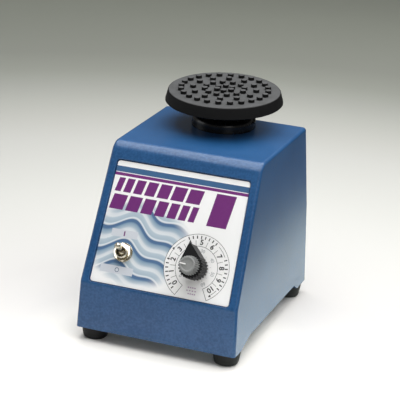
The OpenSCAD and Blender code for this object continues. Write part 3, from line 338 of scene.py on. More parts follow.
def carve(piece, *cutters, way="DIFFERENCE"):
    for cutter in cutters:
        fit(piece, "BOOLEAN", operation=way, object=cutter, solver="EXACT")
        bpy.data.objects.remove(cutter, do_unlink=True)
    return piece


def smooth(piece, angle=35):
    """Smooth shading across rounded edges, with the flat faces left flat."""
    take(piece)
    bpy.ops.object.shade_smooth_by_angle(angle=math.radians(angle))
    return fit(piece, "WEIGHTED_NORMAL", keep_sharp=True, weight=100)


def ease_edges(piece, width, segments=3, angle=40):
    return fit(piece, "BEVEL", width=width * mm, segments=segments, limit_method="ANGLE",
               angle_limit=math.radians(angle), harden_normals=False)


def join(name, *pieces):
    take(*pieces)
    bpy.ops.object.join()
    pieces[0].name = pieces[0].data.name = name
    return pieces[0]


def copies(piece, spots):
    """The piece at every spot, each copy with its own mesh, joined to one object."""
    name, twins = piece.name, []
    for spot in spots:
        twin = bpy.data.objects.new(name, piece.data.copy())
        bpy.context.collection.objects.link(twin)
        twin.data.transform(spot)
        twins.append(twin)
    bpy.data.objects.remove(piece, do_unlink=True)
    return join(name, *twins)


def dress(piece, finish, body, *nodes):
    """Gives a piece its finish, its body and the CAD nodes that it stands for."""
    piece.data.materials.clear()
    piece.data.materials.append(finish.material)
    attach(piece, body)
    if nodes:
        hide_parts(*nodes)
    return piece


def lean_in(piece):
    """Draws the sides of a block together, row by row up to the roof, and goes on editing."""
    take(piece)
    bpy.ops.object.mode_set(mode="EDIT")
    for height in sorted({round(corner.co.z, 6) for corner in piece.data.vertices}):
        pick("VERT", lambda corner: abs(corner.co.z - height) < 2e-6)
        inwards = (height / mm - floor) / (roof - floor) * side_lean
        bpy.ops.transform.resize(value=(1 - inwards / half_width, 1, 1),
                                 center_override=(0, 0, 0))


def crosses(edge, along, up):
    """Whether an edge runs across the housing at a height and at a depth, where one is given."""
    spot = (edge.verts[0].co + edge.verts[1].co) / 2 / mm
    return (edge.calc_length() > 50 * mm and abs(spot.z - up) < 0.01
            and (along is None or abs(spot.y - along) < 0.01))


def bounds_side(edge):
    """Whether an edge runs between a side and another face, except underneath."""
    normals = [face.normal for face in edge.link_faces]
    return (sorted(abs(normal.x) > 0.9 for normal in normals) == [False, True]
            and all(normal.z > -0.5 for normal in normals))


def panel_at(height):
    return chin + chin_lean + (height - chin_top) * math.tan(slope)


def rear_at(height):
    if height < bend:
        return rear - (height - floor) / (bend - floor) * bend_lean
    return rear - bend_lean - (height - bend) / (roof - bend) * (rear - bend_lean - top_rear)


sideways = Matrix(((0, 0, 1, 0), (1, 0, 0, 0), (0, 1, 0, 0), (0, 0, 0, 1)))
housing = slab("steel_housing", [(chin, floor), (chin + chin_lean, chin_top), (top_front, roof),
                                 (top_rear, roof), (rear - bend_lean, bend), (rear, floor)],
               -half_width, half_width, sideways)
lean_in(housing)
pick("EDGE", lambda edge: crosses(edge, top_front, roof))
brow_offset = brow_round * mm * math.tan((math.radians(90) - slope) / 2)
bpy.ops.mesh.bevel(offset=brow_offset, segments=12, affect="EDGES")
pick("EDGE", lambda edge: crosses(edge, chin + chin_lean, chin_top))
bpy.ops.mesh.bevel(offset=chin_round * mm, segments=5, affect="EDGES")
pick("EDGE", lambda edge: crosses(edge, None, bend))
bpy.ops.mesh.bevel(offset=bend_round * mm, segments=3, affect="EDGES")
pick("EDGE", lambda edge: bounds_side(edge) or crosses(edge, top_rear, roof))
bpy.ops.mesh.bevel(offset=edge_round * mm, segments=6, affect="EDGES")
bpy.ops.object.mode_set(mode="OBJECT")

inside_top, below = roof - wall, floor - 1
panel_in = panel_wall / math.cos(slope)
hollow = slab("hollow", [(chin + wall, below),
                         (chin + chin_lean + wall, chin_top - (panel_in - wall) / math.tan(slope)),
                         (panel_at(inside_top) + panel_in, inside_top),
                         (rear_at(inside_top) - wall, inside_top),
                         (rear - bend_lean - wall, bend), (rear - wall, below)],
              wall - half_width, half_width - wall, sideways)
lean_in(hollow)
bpy.ops.object.mode_set(mode="OBJECT")
arch_rise, arch_below = floor + 5, floor - 0.5
arch = slab("arch", [(chin + 13.2, arch_below), (chin + 33, arch_rise),
                     (rear - 29.5, arch_rise), (rear - 20.7, arch_below)], -70, 70, sideways)
ease_edges(arch, 1.5, 4, 15)
carve(housing, hollow, arch)

label_half, label_taper, label_foot, label_head = 52.75, 2.4, 1.6, 90.6


def label_outline(grow):
    half_foot, half_head = label_half + grow, label_half - label_taper + grow
    return [(-half_foot, label_foot - grow), (half_foot, label_foot - grow),
            (half_head, label_head + grow), (-half_head, label_head + grow)]


def rounded_plate(name, outline, low, high, radius, spot=Matrix()):
    """A plate with its corners rounded before it is set down."""
    plate = slab(name, outline, low, high)
    bpy.ops.object.mode_set(mode="EDIT")
    pick("EDGE", lambda edge: abs(edge.verts[0].co.z - edge.verts[1].co.z) > (high - low) / 2 * mm)
    bpy.ops.mesh.bevel(offset=radius * mm, segments=8, affect="EDGES")
    bpy.ops.object.mode_set(mode="OBJECT")
    return set_down(plate, spot)


def drill(name, radius, low, high, spot):
    return turned(name, [(radius, low), (radius, high)], 64, spot)


panel = (shift(0, chin + chin_lean, chin_top)
         @ Matrix.Rotation(math.radians(90) - slope, 4, "X"))
recess = rounded_plate("recess", label_outline(0.7), -2, -0.5, 2.7)
bpy.ops.object.mode_set(mode="EDIT")
pick("FACE", lambda face: face.normal.z > 0.9)
label_middle = (label_foot + label_head) / 2
recess_across, recess_along = 53, 45
for rise, grow in ((0.3, 0.15), (0.2, 0.35), (1.0, 0.6)):
    bpy.ops.mesh.extrude_region_move(TRANSFORM_OT_translate={"value": (0, 0, rise * mm)})
    bpy.ops.transform.resize(value=(1 + grow / recess_across, 1 + grow / recess_along, 1),
                             center_override=(0, label_middle * mm, 0))
bpy.ops.object.mode_set(mode="OBJECT")
set_down(recess, panel)

dial_across, dial_along, toggle_across, toggle_along = 24, 24.2, -32, 25.6
bush_hole, head_hole, screw_hole, inlet_screw = 4.5, 20, 1.5, 20
dial = panel @ shift(dial_across, dial_along, 0)
toggle = panel @ shift(toggle_across, toggle_along, 0)
inlet_low, inlet_high = (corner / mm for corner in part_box("mains_inlet"))
inlet_across, inlet_up = (inlet_low.x + inlet_high.x) / 2, (inlet_low.z + inlet_high.z) / 2
back = (shift(inlet_across, rear_at(inlet_up), inlet_up)
        @ Matrix.Rotation(math.atan2(bend_lean, bend - floor), 4, "X")
        @ Matrix(((0, 1, 0, 0), (0, 0, 1, 0), (1, 0, 0, 0), (0, 0, 0, 1))))
inlet_outline = rectangle(-13.5, 13.5, -9.5, 9.5)
carve(housing, recess, drill("control_hole", bush_hole, -6, 0, dial),
      drill("toggle_hole", bush_hole, -6, 0, toggle),
      drill("head_hole", head_hole, roof - 5, roof + 2, shift(0, axis, 0)),
      slab("inlet_hole", inlet_outline, -5, 2, back),
      *(drill("screw_hole", screw_hole, -5, 2, back @ shift(side * inlet_screw, 0, 0))
        for side in (-1, 1)))
smooth(housing, 30)

boss_low, boss_tall, foot_from_side, foot_from_end = 17, 14, 10.3, 12.5
foot_spots = [(side * (half_width - foot_from_side), middle + end * (rear - middle - foot_from_end))
              for side in (-1, 1) for end in (-1, 1)]
boss = turned("foot_boss", [(2, 0), (4.5, 0), (4.5, boss_tall), (2, boss_tall)], 32, bored=True)
rib = slab("rib", rectangle(4, 9, -1.5, 1.5), 0, boss_tall)
ease_edges(rib, 0.5, 2)
bosses = copies(boss, [shift(*spot, boss_low) for spot in foot_spots])
ribs = copies(rib, [shift(across, along, boss_low) @ spin(angle, "Z")
                    for across, along in foot_spots
                    for angle in (0 if across > 0 else 180, 90 if along > middle else -90)])
housing = join("steel_housing", housing, bosses, ribs)

powder_blue = Finish("blue_powder_coat")
stipple, cloud = powder_blue.place.noise(620, 3), powder_blue.place.noise(18, 2)
mottle = (0.35 * cloud + 0.65 * stipple).ease(0.36, 0.64)
powder_blue.feed(Base_Color=mottle.blend(paint(22, 70, 117), paint(34, 84, 134)),
                 Roughness=0.46 + 0.18 * stipple, Specular_IOR_Level=0.2,
                 Coat_Weight=0.66 + 0.34 * stipple.ease(0.4, 0.6), Coat_Roughness=0.22,
                 Coat_IOR=1.46)
powder_blue.grain(powder_blue.place.noise(900, 2), 0.4, 0.12)
dress(housing, powder_blue, "base", "housing")


# ---- Feet ----
# Four moulded rubber feet, rounded where they stand and a little wider at the shoulder just
# under the housing. A neck goes up inside; a deep pocket takes the head of the foot's screw.
foot = turned("rubber_feet", [(4.6, 0.4), (5.2, 0.0), (7.2, 0.0), (8.1, 0.3), (8.7, 0.95),
                              (9.0, 2.0), (10.2, 9.0), (10.25, 9.3), (10.1, 9.6), (7.1, 9.6),
                              (7.1, 15), (2, 15), (2, 8), (4.6, 8)], 64, bored=True)
feet = copies(foot, [shift(*spot, 0) for spot in foot_spots])
smooth(feet, 40)
foot_rubber = Finish("black_foot_rubber")
speck = foot_rubber.place.noise(700, 3)
foot_rubber.feed(Base_Color=speck.blend(paint(15, 15, 16), paint(27, 27, 29)),
                 Roughness=0.55 + 0.2 * speck, Specular_IOR_Level=0.3)
foot_rubber.grain(foot_rubber.place.noise(1800, 2), 0.25, 0.08)
dress(feet, foot_rubber, "base", "feet")


# ---- Front label ----
# A printed plate of clear-faced polycarbonate, laid in the recess: white, with a slate band
# and a purple rule along the top, flowing blue-grey waves at the left and a white dial ground.
label = rounded_plate("front_label_plate", label_outline(0), -2, -1.2, 2, panel)
ease_edges(label, 0.12, 2)
carve(label, drill("control_hole", bush_hole, -3, 0, dial),
      drill("toggle_hole", bush_hole, -3, 0, toggle))
smooth(label, 30)
print_face = Finish("printed_label")
across, north, up = (part / mm for part in print_face.place.parts())
along = (north - (chin + chin_lean)) * math.sin(slope) + (up - chin_top) * math.cos(slope)
down, dial_ground, wave_pitch = label_head - along, 24.3, 15.5


def off_centre(centre_across, centre_along, half_across, half_along):
    """0 in the middle of an ellipse on the label, 1 on its edge, and more outside it."""
    aside, above = (across - centre_across) / half_across, (along - centre_along) / half_along
    return aside * aside + above * above


swell = (4.6 * (across * 0.085 + 0.9).single("SINE")
         + 3.0 * (across * 0.19 - along * 0.05).single("SINE"))
flow = ((along + swell + across * 0.16) / wave_pitch).single("FRACT").ramp(
    (0.0, (214, 221, 228)), (0.10, (170, 188, 203)), (0.26, (134, 161, 184)),
    (0.33, (84, 115, 153)), (0.45, (78, 111, 150)), (0.50, (214, 221, 228)),
    (0.55, (222, 228, 234)), (0.60, (170, 189, 204)), (0.80, (182, 198, 211)),
    (0.88, (222, 228, 234)), (1.0, (214, 221, 228)))
ink = off_centre(-22, 33, 40, 31).ease(0.62, 1.12).blend(flow, paint(248, 249, 250))
on_ground = off_centre(dial_across, dial_along, dial_ground, dial_ground) < 1
ink = on_ground.blend(ink, paint(246, 246, 247))
ink = ((down > 3.9) * (down < 8.0)).blend(ink, paint(64, 101, 142))
ink = ((down > 8.5) * (down < 10.7)).blend(ink, paint(116, 46, 120))
print_face.feed(Base_Color=ink, Roughness=0.26 + 0.06 * print_face.place.noise(300, 2))
print_face.grain(print_face.place.noise(420, 2), 0.05, 0.05)
dress(label, print_face, "base", "front_label")


# ---- Printing on the label ----
# Screen-printed inks on the plate: the dial's rings, divisions and numbers, a scale of small
# marks outside them, slanted purple bars, and two switch marks on pale strips.
ink_low, ink_high = -1.23, -1.17
dial_first, dial_step, dial_end = -133, 26.7, 150.7
timer_first, timer_step = -125, 45


def on_dial(angle):
    """The dial turned so that its top lies at an angle, clockwise."""
    return dial @ spin(-angle, "Z")


def bar(left, right, near, far, spot, slant=0.0):
    """A printed bar that leans by slant."""
    return slab("bar", [(left, near), (right, near), (right + slant, far), (left + slant, far)],
                ink_low, ink_high, spot)


def sweep(inner, outer, start, end):
    """A printed arc of the dial between two angles, clockwise from the top."""
    bpy.ops.object.select_all(action="DESELECT")
    bpy.ops.mesh.primitive_plane_add(size=1)
    line = bpy.context.object
    bpy.ops.object.mode_set(mode="EDIT")
    pick("VERT", lambda corner: corner.co.x > 0)
    bpy.ops.mesh.delete(type="VERT")
    for row, radius in ((1, outer), (-1, inner)):
        corner = pick("VERT", lambda part: part.co.y * row > 0)[0]
        bpy.ops.transform.translate(value=Vector((0, radius * mm, ink_low * mm)) - corner)
    bpy.ops.mesh.select_mode(type="EDGE")
    bpy.ops.mesh.select_all(action="SELECT")
    bpy.ops.mesh.spin(steps=max(2, int((end - start) / 4)), angle=math.radians(end - start),
                      center=(0, 0, 0), axis=(0, 0, 1))
    bpy.ops.mesh.select_all(action="SELECT")
    bpy.ops.mesh.normals_make_consistent(inside=False)
    bpy.ops.object.mode_set(mode="OBJECT")
    fit(line, "SOLIDIFY", thickness=2 * (ink_high - ink_low) * mm, offset=0)
    return set_down(line, on_dial(start))


def figure(words, size, spot):
    """Printed figures, centred, cut as thin plates and a little bold."""
    bpy.ops.object.select_all(action="DESELECT")
    bpy.ops.object.text_add()
    text = bpy.context.object
    text.data.body, text.data.size = words, size * mm
    text.data.align_x, text.data.align_y = "CENTER", "CENTER"
    text.data.extrude = (ink_high - ink_low) / 2 * mm
    text.data.offset = 0.028 * size * mm
    text.data.resolution_u = 4
    bpy.ops.object.convert(target="MESH")
    return set_down(bpy.context.object, spot @ shift(0, 0, (ink_low + ink_high) / 2))


def ink_finish(name, dark, light):
    """Screen ink: a flat card colour with the faint mottle of the mesh."""
    made = Finish(name)
    mottle = made.place.noise(900, 2)
    made.feed(Base_Color=mottle.blend(paint(*dark), paint(*light)), Roughness=0.34 + 0.1 * mottle)
    return made


dial_black = [figure(str(number), 5.2, on_dial(dial_first + dial_step * number) @ shift(0, 18.4, 0))
              for number in range(11)]
dial_black += [bar(-0.4, 0.4, 20.9, 23.1, on_dial(angle))
               for start in (-138, -26, 66) for angle in range(start, start + 57, 8)]
dial_black += [slab("arrow", [(-0.9, 21.2), (0.9, 22.3), (-0.9, 23.3)], ink_low, ink_high,
                    on_dial(angle)) for angle in (-60, 143)]
dial_lines = [sweep(24.0, 24.3, -dial_end, dial_end), sweep(15.45, 15.75, -dial_end, dial_end)]
dial_lines += [sweep(21.85, 22.15, start, end)
               for start, end in ((-84, -62), (-57, -34), (37, 60), (126, 141))]
dial_lines += [bar(-0.17, 0.17, 15.7, 24.2, on_dial(angle)) for angle in (-dial_end, dial_end)]
dial_lines += [bar(-0.14, 0.14, 15.7, 19.8, on_dial(dial_first + dial_step * (number + 0.5)))
               for number in range(10)]
timer_grey = [figure(str(10 * tens), 3.4, on_dial(timer_first + timer_step * tens)
                     @ shift(0, 12.6, 0)) for tens in range(7)]
timer_grey += [bar(-0.12, 0.12, 9.6, 10.8, on_dial(timer_first + timer_step / 2 * count))
               for count in range(13)]

purple, dashes = [], []
bar_gap, widening = 2.0, [4.6 + step for step in range(7)]
for near, far, left, widths in ((68.4, 78.6, -48.6, widening), (55.4, 66.4, -50.2, widening[::-1])):
    for width in widths:
        purple.append(bar(left, left + width, near, far, panel, 2.2))
        left += width + bar_gap
purple.append(bar(24.6, 39.4, 54.8, 78.6, panel, 3.4))
purple.append(bar(-34.6, -33.6, 37.2, 40.6, panel))
for row, (left, right) in enumerate(((-3.4, 3.2), (-4.0, 4.2), (-2.6, 3.6))):
    for count in range(4):
        dash, far = left + (right - left) * count / 4, -13.8 - 2.2 * row
        dashes.append(bar(dash, dash + 1.1, far - 0.8, far, dial))
strip_high = ink_high - 0.015
strips = [slab("strip", rectangle(*edges), ink_low, strip_high, panel)
          for edges in ((-44, -24, 36.2, 41.6), (-47, -22, 9.8, 15.4))]
off_mark = turned("off_mark", [(1.2, ink_low), (1.65, ink_low), (1.65, ink_high), (1.2, ink_high)],
                  32, panel @ shift(-34.2, 12.6, 0), bored=True)

for printed, name, dark, light in (
        (join("dial_figures", *dial_black), "black_ink", (40, 41, 44), (52, 53, 56)),
        (join("dial_lines", *dial_lines), "grey_ink", (62, 63, 66), (74, 75, 78)),
        (join("timer_figures", *timer_grey), "pale_grey_ink", (184, 187, 190), (196, 198, 201)),
        (join("purple_bars", *purple), "purple_ink", (106, 38, 112), (114, 46, 119)),
        (join("timer_dashes", *dashes), "pale_purple_ink", (186, 160, 188), (196, 172, 198)),
        (join("pale_strips", *strips), "pale_strip_ink", (203, 209, 219), (210, 215, 224)),
        (off_mark, "slate_ink", (92, 112, 138), (102, 122, 148))):
    dress(printed, ink_finish(name, dark, light), "base")


# ---- Speed knob ----
# A moulded black pointer knob, fluted round its foot for the fingers. It is pressed on the
# control's outer shaft and points at the speed; here it stands a little under 5.
def fluted_drum(name, radius, low, high, depth, flutes, narrow=1.0):
    """A drum with grooves down its side, each one a row of corners drawn in."""
    drum = turned(name, [(radius, low), (radius * narrow, high)], flutes * 6)
    bpy.ops.object.mode_set(mode="EDIT")
    step = 2 * math.pi / flutes
    pick("VERT", lambda corner: abs((math.atan2(corner.co.y, corner.co.x) + step / 2) % step
                                    - step / 2) < step / 5)
    bpy.ops.transform.resize(value=(1 - depth / radius, 1 - depth / radius, 1),
                             center_override=(0, 0, 0))
    bpy.ops.object.mode_set(mode="OBJECT")
    return drum


def plastic_finish(name, dark, light, rough, spread=0.15, fine=800, relief=(1200, 0.1, 0.05)):
    """Moulded plastic: two near card colours, with a fine even relief."""
    made = Finish(name)
    speck = made.place.noise(fine, 3)
    made.feed(Base_Color=speck.blend(paint(*dark), paint(*light)), Roughness=rough + spread * speck)
    closeness, strength, depth = relief
    made.grain(made.place.noise(closeness, 2), strength, depth)
    return made


flute_depth, flutes, knob_low, knob_high = 0.85, 24, -0.2, 12.8
tip, flank = 15.6, 8.75
speed_knob = fluted_drum("speed_knob_body", 9, knob_low, knob_high, flute_depth, flutes)
tangent = math.acos(8.9 / tip)
flank_across, flank_along = flank * math.sin(tangent), flank * math.cos(tangent)
nose = slab("pointer_nose", [(-1, tip), (-flank_across, flank_along), (-6, -2), (6, -2),
                             (flank_across, flank_along), (1, tip)], knob_low, knob_high)
carve(speed_knob, nose, way="UNION")
ease_edges(speed_knob, 0.25, 2, 60)
smooth(speed_knob, 32)
set_down(speed_knob, dial @ spin(13.7, "Z"))
black_moulding = plastic_finish("black_knob_moulding", (22, 22, 24), (30, 30, 32), 0.36, 0.14, 900,
                                (1600, 0.12, 0.06))
black_moulding.feed(Specular_IOR_Level=0.28)
dress(speed_knob, black_moulding, "speed_dial", "speed_knob")


# ---- Timer knob ----
# A smaller grey knob on the inner shaft, fluted all the way up, with a shallow dished face and
# a white line inlaid from its middle to its rim.
timer_spot = dial @ spin(85, "Z")
timer_knob = fluted_drum("timer_knob_body", 7, 13.2, 20.2, flute_depth, flutes, 0.9)
cap = turned("timer_cap", [(5.4, 19.6), (5.6, 20.4), (5.6, 20.8), (5.4, 21.12), (5.0, 21.2),
                           (4.6, 21.1), (4.2, 20.6), (3.8, 20.3), (0.4, 20.25)])
line = slab("timer_line", rectangle(-0.42, 0.42, 1.2, 5.5), 20.0, 21.2, timer_spot)
ease_edges(timer_knob, 0.15, 2, 60)
timer_knob = join("timer_knob_body", timer_knob, cap)
smooth(timer_knob)
set_down(timer_knob, timer_spot)
dress(timer_knob, plastic_finish("grey_knob_moulding", (132, 134, 134), (146, 148, 148), 0.42,
                                 0.14, 800, (1500, 0.12, 0.06)), "timer_dial", "timer_knob")
dress(line, ink_finish("white_inlay", (240, 240, 240), (248, 248, 248)), "timer_dial")


# ---- Toggle switch ----
# A small panel switch, nickel and chrome plated: its box hangs behind the panel, a hexagon nut
# and a washer clamp its threaded bush, and a bat lever with a ball end leans up in it.
def arc(across, up, radius, start, end, step):
    """A round stretch of an outline, at angles from straight up towards the outside."""
    return [(across + radius * math.sin(math.radians(angle)),
             up + radius * math.cos(math.radians(angle))) for angle in range(start, end, step)]


switch_box = slab("toggle_switch_body", rectangle(-7, 7, -10, 10), -19, -4, toggle)
ease_edges(switch_box, 0.6)
bush_low, pitch, root, crest = -4, 0.35, 4.28, 4.5
thread = [(radius, bush_low + pitch * turn + lift)
          for turn in range(22) for radius, lift in ((root, 0.0), (crest, 0.17))]
bush = turned("toggle_bush", [(3.3, bush_low)] + thread + [(crest, 3.8), (4.32, 4.2), (3.95, 4.4),
                                                          (3.5, 4.3), (3.3, 3.9)],
              64, toggle, bored=True)
switch_body = join("toggle_switch_body", switch_box, bush)
smooth(switch_body, 40)
nut_half, clear_of_thread, washer_edge = 6, 4.55, 7
nut_corner = nut_half / math.cos(math.radians(30))
nut = turned("toggle_nut_hex", [(nut_corner, -0.6), (nut_corner, 2)], 6)
crown = turned("nut_crown", [(nut_half, -0.8), (7.4, 0.1), (7.4, 1.1), (nut_half, 2.05)])
carve(nut, crown, way="INTERSECT")
carve(nut, drill("nut_bore", clear_of_thread, -2, 4, Matrix()))
ease_edges(nut, 0.14, 2, 25)
smooth(nut, 25)
set_down(nut, toggle @ spin(12, "Z"))
washer = turned("toggle_washer_ring", [(clear_of_thread, -1.2), (6.9, -1.2), (washer_edge, -1.1),
                                       (washer_edge, -0.7), (6.9, -0.6), (clear_of_thread, -0.6)],
                96, toggle, bored=True)
smooth(washer, 40)
lever_foot = [(1.0, -4.75), (1.0, -2.8)] + arc(0, 0, 3, 156, 29, -9)
lever_bat = [(1.6, 5), (1.9, 8.5), (2.22, 11.5)] + arc(0, 12.2, 2.3, 90, 0, -9)
lever = turned("bat_lever", lever_foot + lever_bat, 64,
               toggle @ shift(0, 0, 0.8) @ spin(-15, "X"))
smooth(lever, 50)
chrome = Finish("chrome_plate")
haze = chrome.place.noise(500, 3)
chrome.feed(Base_Color=haze.blend(paint(198, 190, 172), paint(216, 209, 192)), Metallic=1.0,
            Roughness=0.2 + 0.12 * haze)
dress(switch_body, chrome, "base", "toggle_body")
dress(nut, chrome, "base", "toggle_nut")
dress(washer, chrome, "base", "toggle_washer")
dress(lever, chrome, "lever", "toggle_lever")


# ---- Top collar ----
# A glossy black moulded ring with a full round shoulder, clipped in the hole in the top, which
# keeps spills out of the motor.
collar_profile = ([(18.4, 8.6), (18.7, 8.95)] + arc(19.3, 4.3, 4.7, 0, 91, 9)
                  + [(24, 0.25), (23.75, 0), (head_hole, 0), (head_hole, -3), (18.6, -3),
                     (18.5, 0)])
collar = turned("collar_ring", collar_profile, 128, shift(0, axis, roof), bored=True)
smooth(collar, 40)
gloss_black = plastic_finish("gloss_black_moulding", (8, 8, 9), (13, 13, 15), 0.2, 0.12, 400,
                             (420, 0.02, 0.04))
dress(collar, gloss_black, "base", "top_collar")


# ---- Head hub ----
# A black moulded hub that flares under the plate and reaches down inside the collar, screwed
# up tight on the leaning stem.
crank_height, lean = 124, 3
stem = shift(0, axis, crank_height) @ spin(lean, "X")
hub = turned("flared_hub", [(4, 11), (12.5, 12.5), (12.9, 11), (16.1, 11), (16.5, 11.4), (16.5, 27),
                            (17.0, 28.6), (18.6, 30.6), (20.4, 32.2), (21, 33.2), (21, 36),
                            (4, 36)], 96, stem, bored=True)
smooth(hub, 30)
dress(hub, gloss_black, "head", "head_hub")


# ---- Rubber cover ----
# A soft moulded cover stretched over the steel plate: a flat face with four rings of stubby
# round nubs that grip a tube, and a flared skirt with a lip hooked under the plate.
face_up, nub_up, nub_rings = 42, 44.4, ((6, 42), (12, 26), (12, 12), (24, 12))
cover = turned("nubbed_rubber_cover", [(35.1, 34.6), (41.4, 33.7), (41.9, 33.6), (43.7, 33.6),
                                       (44, 33.9), (43.9, 34.6)]
               + arc(41, face_up - 1.2, 1.2, 90, -1, -15)
               + [(38.4, face_up), (24, face_up), (8, face_up), (0.5, face_up)], 128)
nub = turned("nub", [(2.3, face_up - 0.5), (2.3, 43.9), (2.15, 44.25), (1.8, nub_up),
                     (0.3, nub_up)], 20)
nubs = copies(nub, [spin(first + 360 * number / count, "Z") @ shift(6 + 8.85 * ring, 0, 0)
                    for ring, (count, first) in enumerate(nub_rings) for number in range(count)])
cover = join("nubbed_rubber_cover", cover, nubs)
smooth(cover, 40)
set_down(cover, stem)
cover_rubber = Finish("cover_rubber_painted_sheen")
bloom, speck = cover_rubber.place.noise(120, 4), cover_rubber.place.noise(1300, 2)
# Faces that look up along the stem are painted light grey, a painted sheen with a random mottle;
# the rest of the rubber is near black.
painted_sheen_up = cover_rubber.outward.node("ShaderNodeVectorMath", {"operation": "DOT_PRODUCT"}, {
    0: cover_rubber.outward, 1: stem.to_3x3() @ Vector((0, 0, 1))}, 1).ease(0.72, 0.97)
painted_sheen_mottle = (0.7 * bloom + 0.3 * speck).ease(0.3, 0.7).blend(paint(68, 69, 70), paint(78, 79, 81))
cover_rubber.feed(Base_Color=painted_sheen_up.blend(paint(12, 12, 13), painted_sheen_mottle),
                  Roughness=0.6 + 0.2 * speck, Specular_IOR_Level=0.2)
cover_rubber.grain(cover_rubber.place.noise(1500, 2), 0.2, 0.08)
dress(cover, cover_rubber, "head", "rubber_cover")


# ---- Mains inlet ----
# A moulded three-pin inlet, stood on its end in the rear wall, with two steel screws through
# its flange. Its pins are nickel-plated brass blades.
flange = rounded_plate("inlet_flange", rectangle(-24, 24, -11, 11), 0, 1, 3)
carve(flange, slab("inlet_block", inlet_outline, -17, 0.5), way="UNION")
mouth = slab("inlet_mouth", [(-12, -8), (12, -8), (12, 3), (7, 8), (-7, 8), (-12, 3)], -14.4, 3)
carve(flange, mouth, *(drill("screw_hole", screw_hole, -3, 3, shift(side * inlet_screw, 0, 0))
                       for side in (-1, 1)))
ease_edges(flange, 0.2, 2)
smooth(flange)
set_down(flange, back)
dress(flange, black_moulding, "base", "mains_inlet")


# ---- Bright steel ----
# Turned, stamped and plated steel pieces: shafts, screws, nuts, the springs and their posts,
# the base plate and the plate under the rubber. Fine brushing shows in their gloss.
def metal_finish(name, dark, light, rough, drawn=(1.0, 1.0, 12.0)):
    """Bare or plated metal with brushing marks that are drawn out along one direction."""
    made = Finish(name)
    brushing = made.place.node("ShaderNodeMapping", {},
                               {"Vector": made.place, "Scale": drawn}).noise(450, 4)
    made.feed(Base_Color=brushing.blend(paint(*dark), paint(*light)), Metallic=1.0,
              Roughness=rough + 0.16 * brushing)
    made.grain(brushing, 0.08, 0.03)
    return made


def finish_nodes(finish, *nodes):
    """Gives CAD nodes that keep their own shape a finish."""
    for node in nodes:
        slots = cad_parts[node].data.materials
        slots.clear()
        slots.append(finish.material)


bright_steel = metal_finish("bright_steel", (176, 178, 181), (200, 202, 205), 0.22)
finish_nodes(bright_steel, "foot_screws", "inlet_screws", "guide_posts", "motor_bolts",
             "motor_nuts", "socket_screws", "plate_screw", "motor_shaft", "head_stem",
             "speed_shaft", "timer_shaft", "control_nut")
finish_nodes(metal_finish("zinc_plate", (158, 162, 168), (182, 186, 190), 0.34, (1.0, 6.0, 1.0)),
             "base_plate", "head_plate")
finish_nodes(metal_finish("polished_ball_steel", (190, 192, 195), (206, 208, 210), 0.08),
             "swivel_ball")
finish_nodes(metal_finish("dark_oxide_steel", (58, 58, 62), (76, 76, 80), 0.36),
             "post_clips", "crank_screws")


# ---- Press springs ----
# Coils of hard steel wire round the guide posts, closed at both ends. They carry the drive and
# give by 2 mm when the head is pressed, so the coils shorten towards the base plate.
springs = bpy.data.objects.new("press_spring_coils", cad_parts["press_springs"].data.copy())
bpy.context.collection.objects.link(springs)
take(springs)
bpy.ops.object.mode_set(mode="EDIT")
bpy.ops.mesh.select_all(action="SELECT")
bpy.ops.mesh.remove_doubles(threshold=1e-6)
bpy.ops.object.mode_set(mode="OBJECT")
smooth(springs, 50)
dress(springs, bright_steel, "base", "press_springs")
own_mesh(springs)


# ---- Cast and cut drive pieces ----
# Aluminium brackets and heat sink, a machined iron crank with its counterweight, and sintered
# bronze bearings in it and in the brackets.
finish_nodes(metal_finish("milled_aluminium", (182, 184, 186), (205, 207, 209), 0.32,
                          (6.0, 1.0, 1.0)),
             "lower_bracket", "upper_bracket", "top_bracket", "heat_sink")
finish_nodes(metal_finish("machined_iron", (108, 108, 112), (134, 134, 138), 0.4),
             "crank_hub", "counterweight")
finish_nodes(metal_finish("sintered_bronze", (150, 112, 66), (178, 138, 86), 0.42,
                          (1.0, 1.0, 1.0)), "motor_bearings", "crank_bearing")
finish_nodes(metal_finish("nickelled_brass", (196, 186, 160), (214, 206, 184), 0.2), "inlet_pins")
finish_nodes(metal_finish("control_casing", (160, 152, 126), (180, 172, 146), 0.32),
             "speed_timer_control")


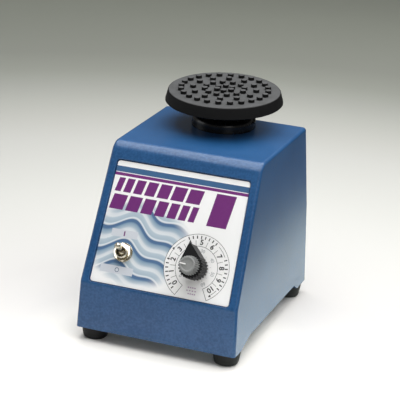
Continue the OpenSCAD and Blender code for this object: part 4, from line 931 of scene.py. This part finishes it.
# ---- Motor core and windings ----
# A stack of varnished steel laminations round a cast cage rotor, and coils of enamelled
# copper wire that show as fine rings at both ends.
leaf_pitch, wire_pitch = 0.65, 0.9
stack = Finish("laminated_core")
east, north, up = (part / mm for part in stack.place.parts())
leaves = (up * (2 * math.pi / leaf_pitch)).single("SINE")
stack.feed(Base_Color=(0.5 + 0.5 * leaves).blend(paint(58, 60, 66), paint(92, 94, 100)),
           Metallic=0.8, Roughness=0.45 + 0.1 * stack.place.noise(300, 2))
stack.grain(leaves, 0.3, 0.05)
finish_nodes(stack, "stator_core", "rotor_core")
copper = Finish("enamelled_copper")
east, north, up = (part / mm for part in copper.place.parts())
off_axis = (east * east + (north - axis) * (north - axis)).single("SQRT")
strands = ((off_axis + up) * (2 * math.pi / wire_pitch)).single("SINE")
copper.feed(Base_Color=(0.5 + 0.5 * strands).blend(paint(120, 52, 22), paint(190, 98, 48)),
            Metallic=0.6, Roughness=0.3 + 0.1 * copper.place.noise(500, 2))
copper.grain(strands, 0.4, 0.1)
finish_nodes(copper, "stator_windings")


# ---- Moulded and electrical pieces ----
# The fan, the touch switch and its plunger, nylon spacers and stand-offs, the acetal ball
# socket, and the green circuit board with its terminal block and foil capacitor.
finish_nodes(plastic_finish("dark_glass_nylon", (42, 42, 46), (56, 56, 60), 0.42),
             "cooling_fan", "touch_switch")
finish_nodes(plastic_finish("red_plunger", (168, 34, 28), (184, 46, 38), 0.36), "switch_plunger")
finish_nodes(plastic_finish("natural_nylon", (208, 204, 186), (222, 218, 202), 0.4),
             "short_spacers", "long_spacers", "board_standoffs")
finish_nodes(plastic_finish("acetal_socket", (224, 220, 208), (234, 231, 221), 0.3),
             "ball_socket")
finish_nodes(plastic_finish("green_terminal", (40, 118, 74), (52, 132, 86), 0.4),
             "terminal_block")
finish_nodes(plastic_finish("foil_capacitor", (196, 160, 48), (210, 176, 62), 0.34),
             "suppressor_capacitor")
board = Finish("circuit_board_mask")
east, north, up = board.place.parts()
tracks = ((east * 700).single("SINE") * (north * 450).single("SINE")).ease(0.15, 0.25)
board.feed(Base_Color=tracks.blend(paint(24, 84, 50), paint(44, 116, 66)),
           Roughness=0.3 + 0.12 * board.place.noise(300, 2))
board.grain(tracks, 0.2, 0.04)
finish_nodes(board, "circuit_board")
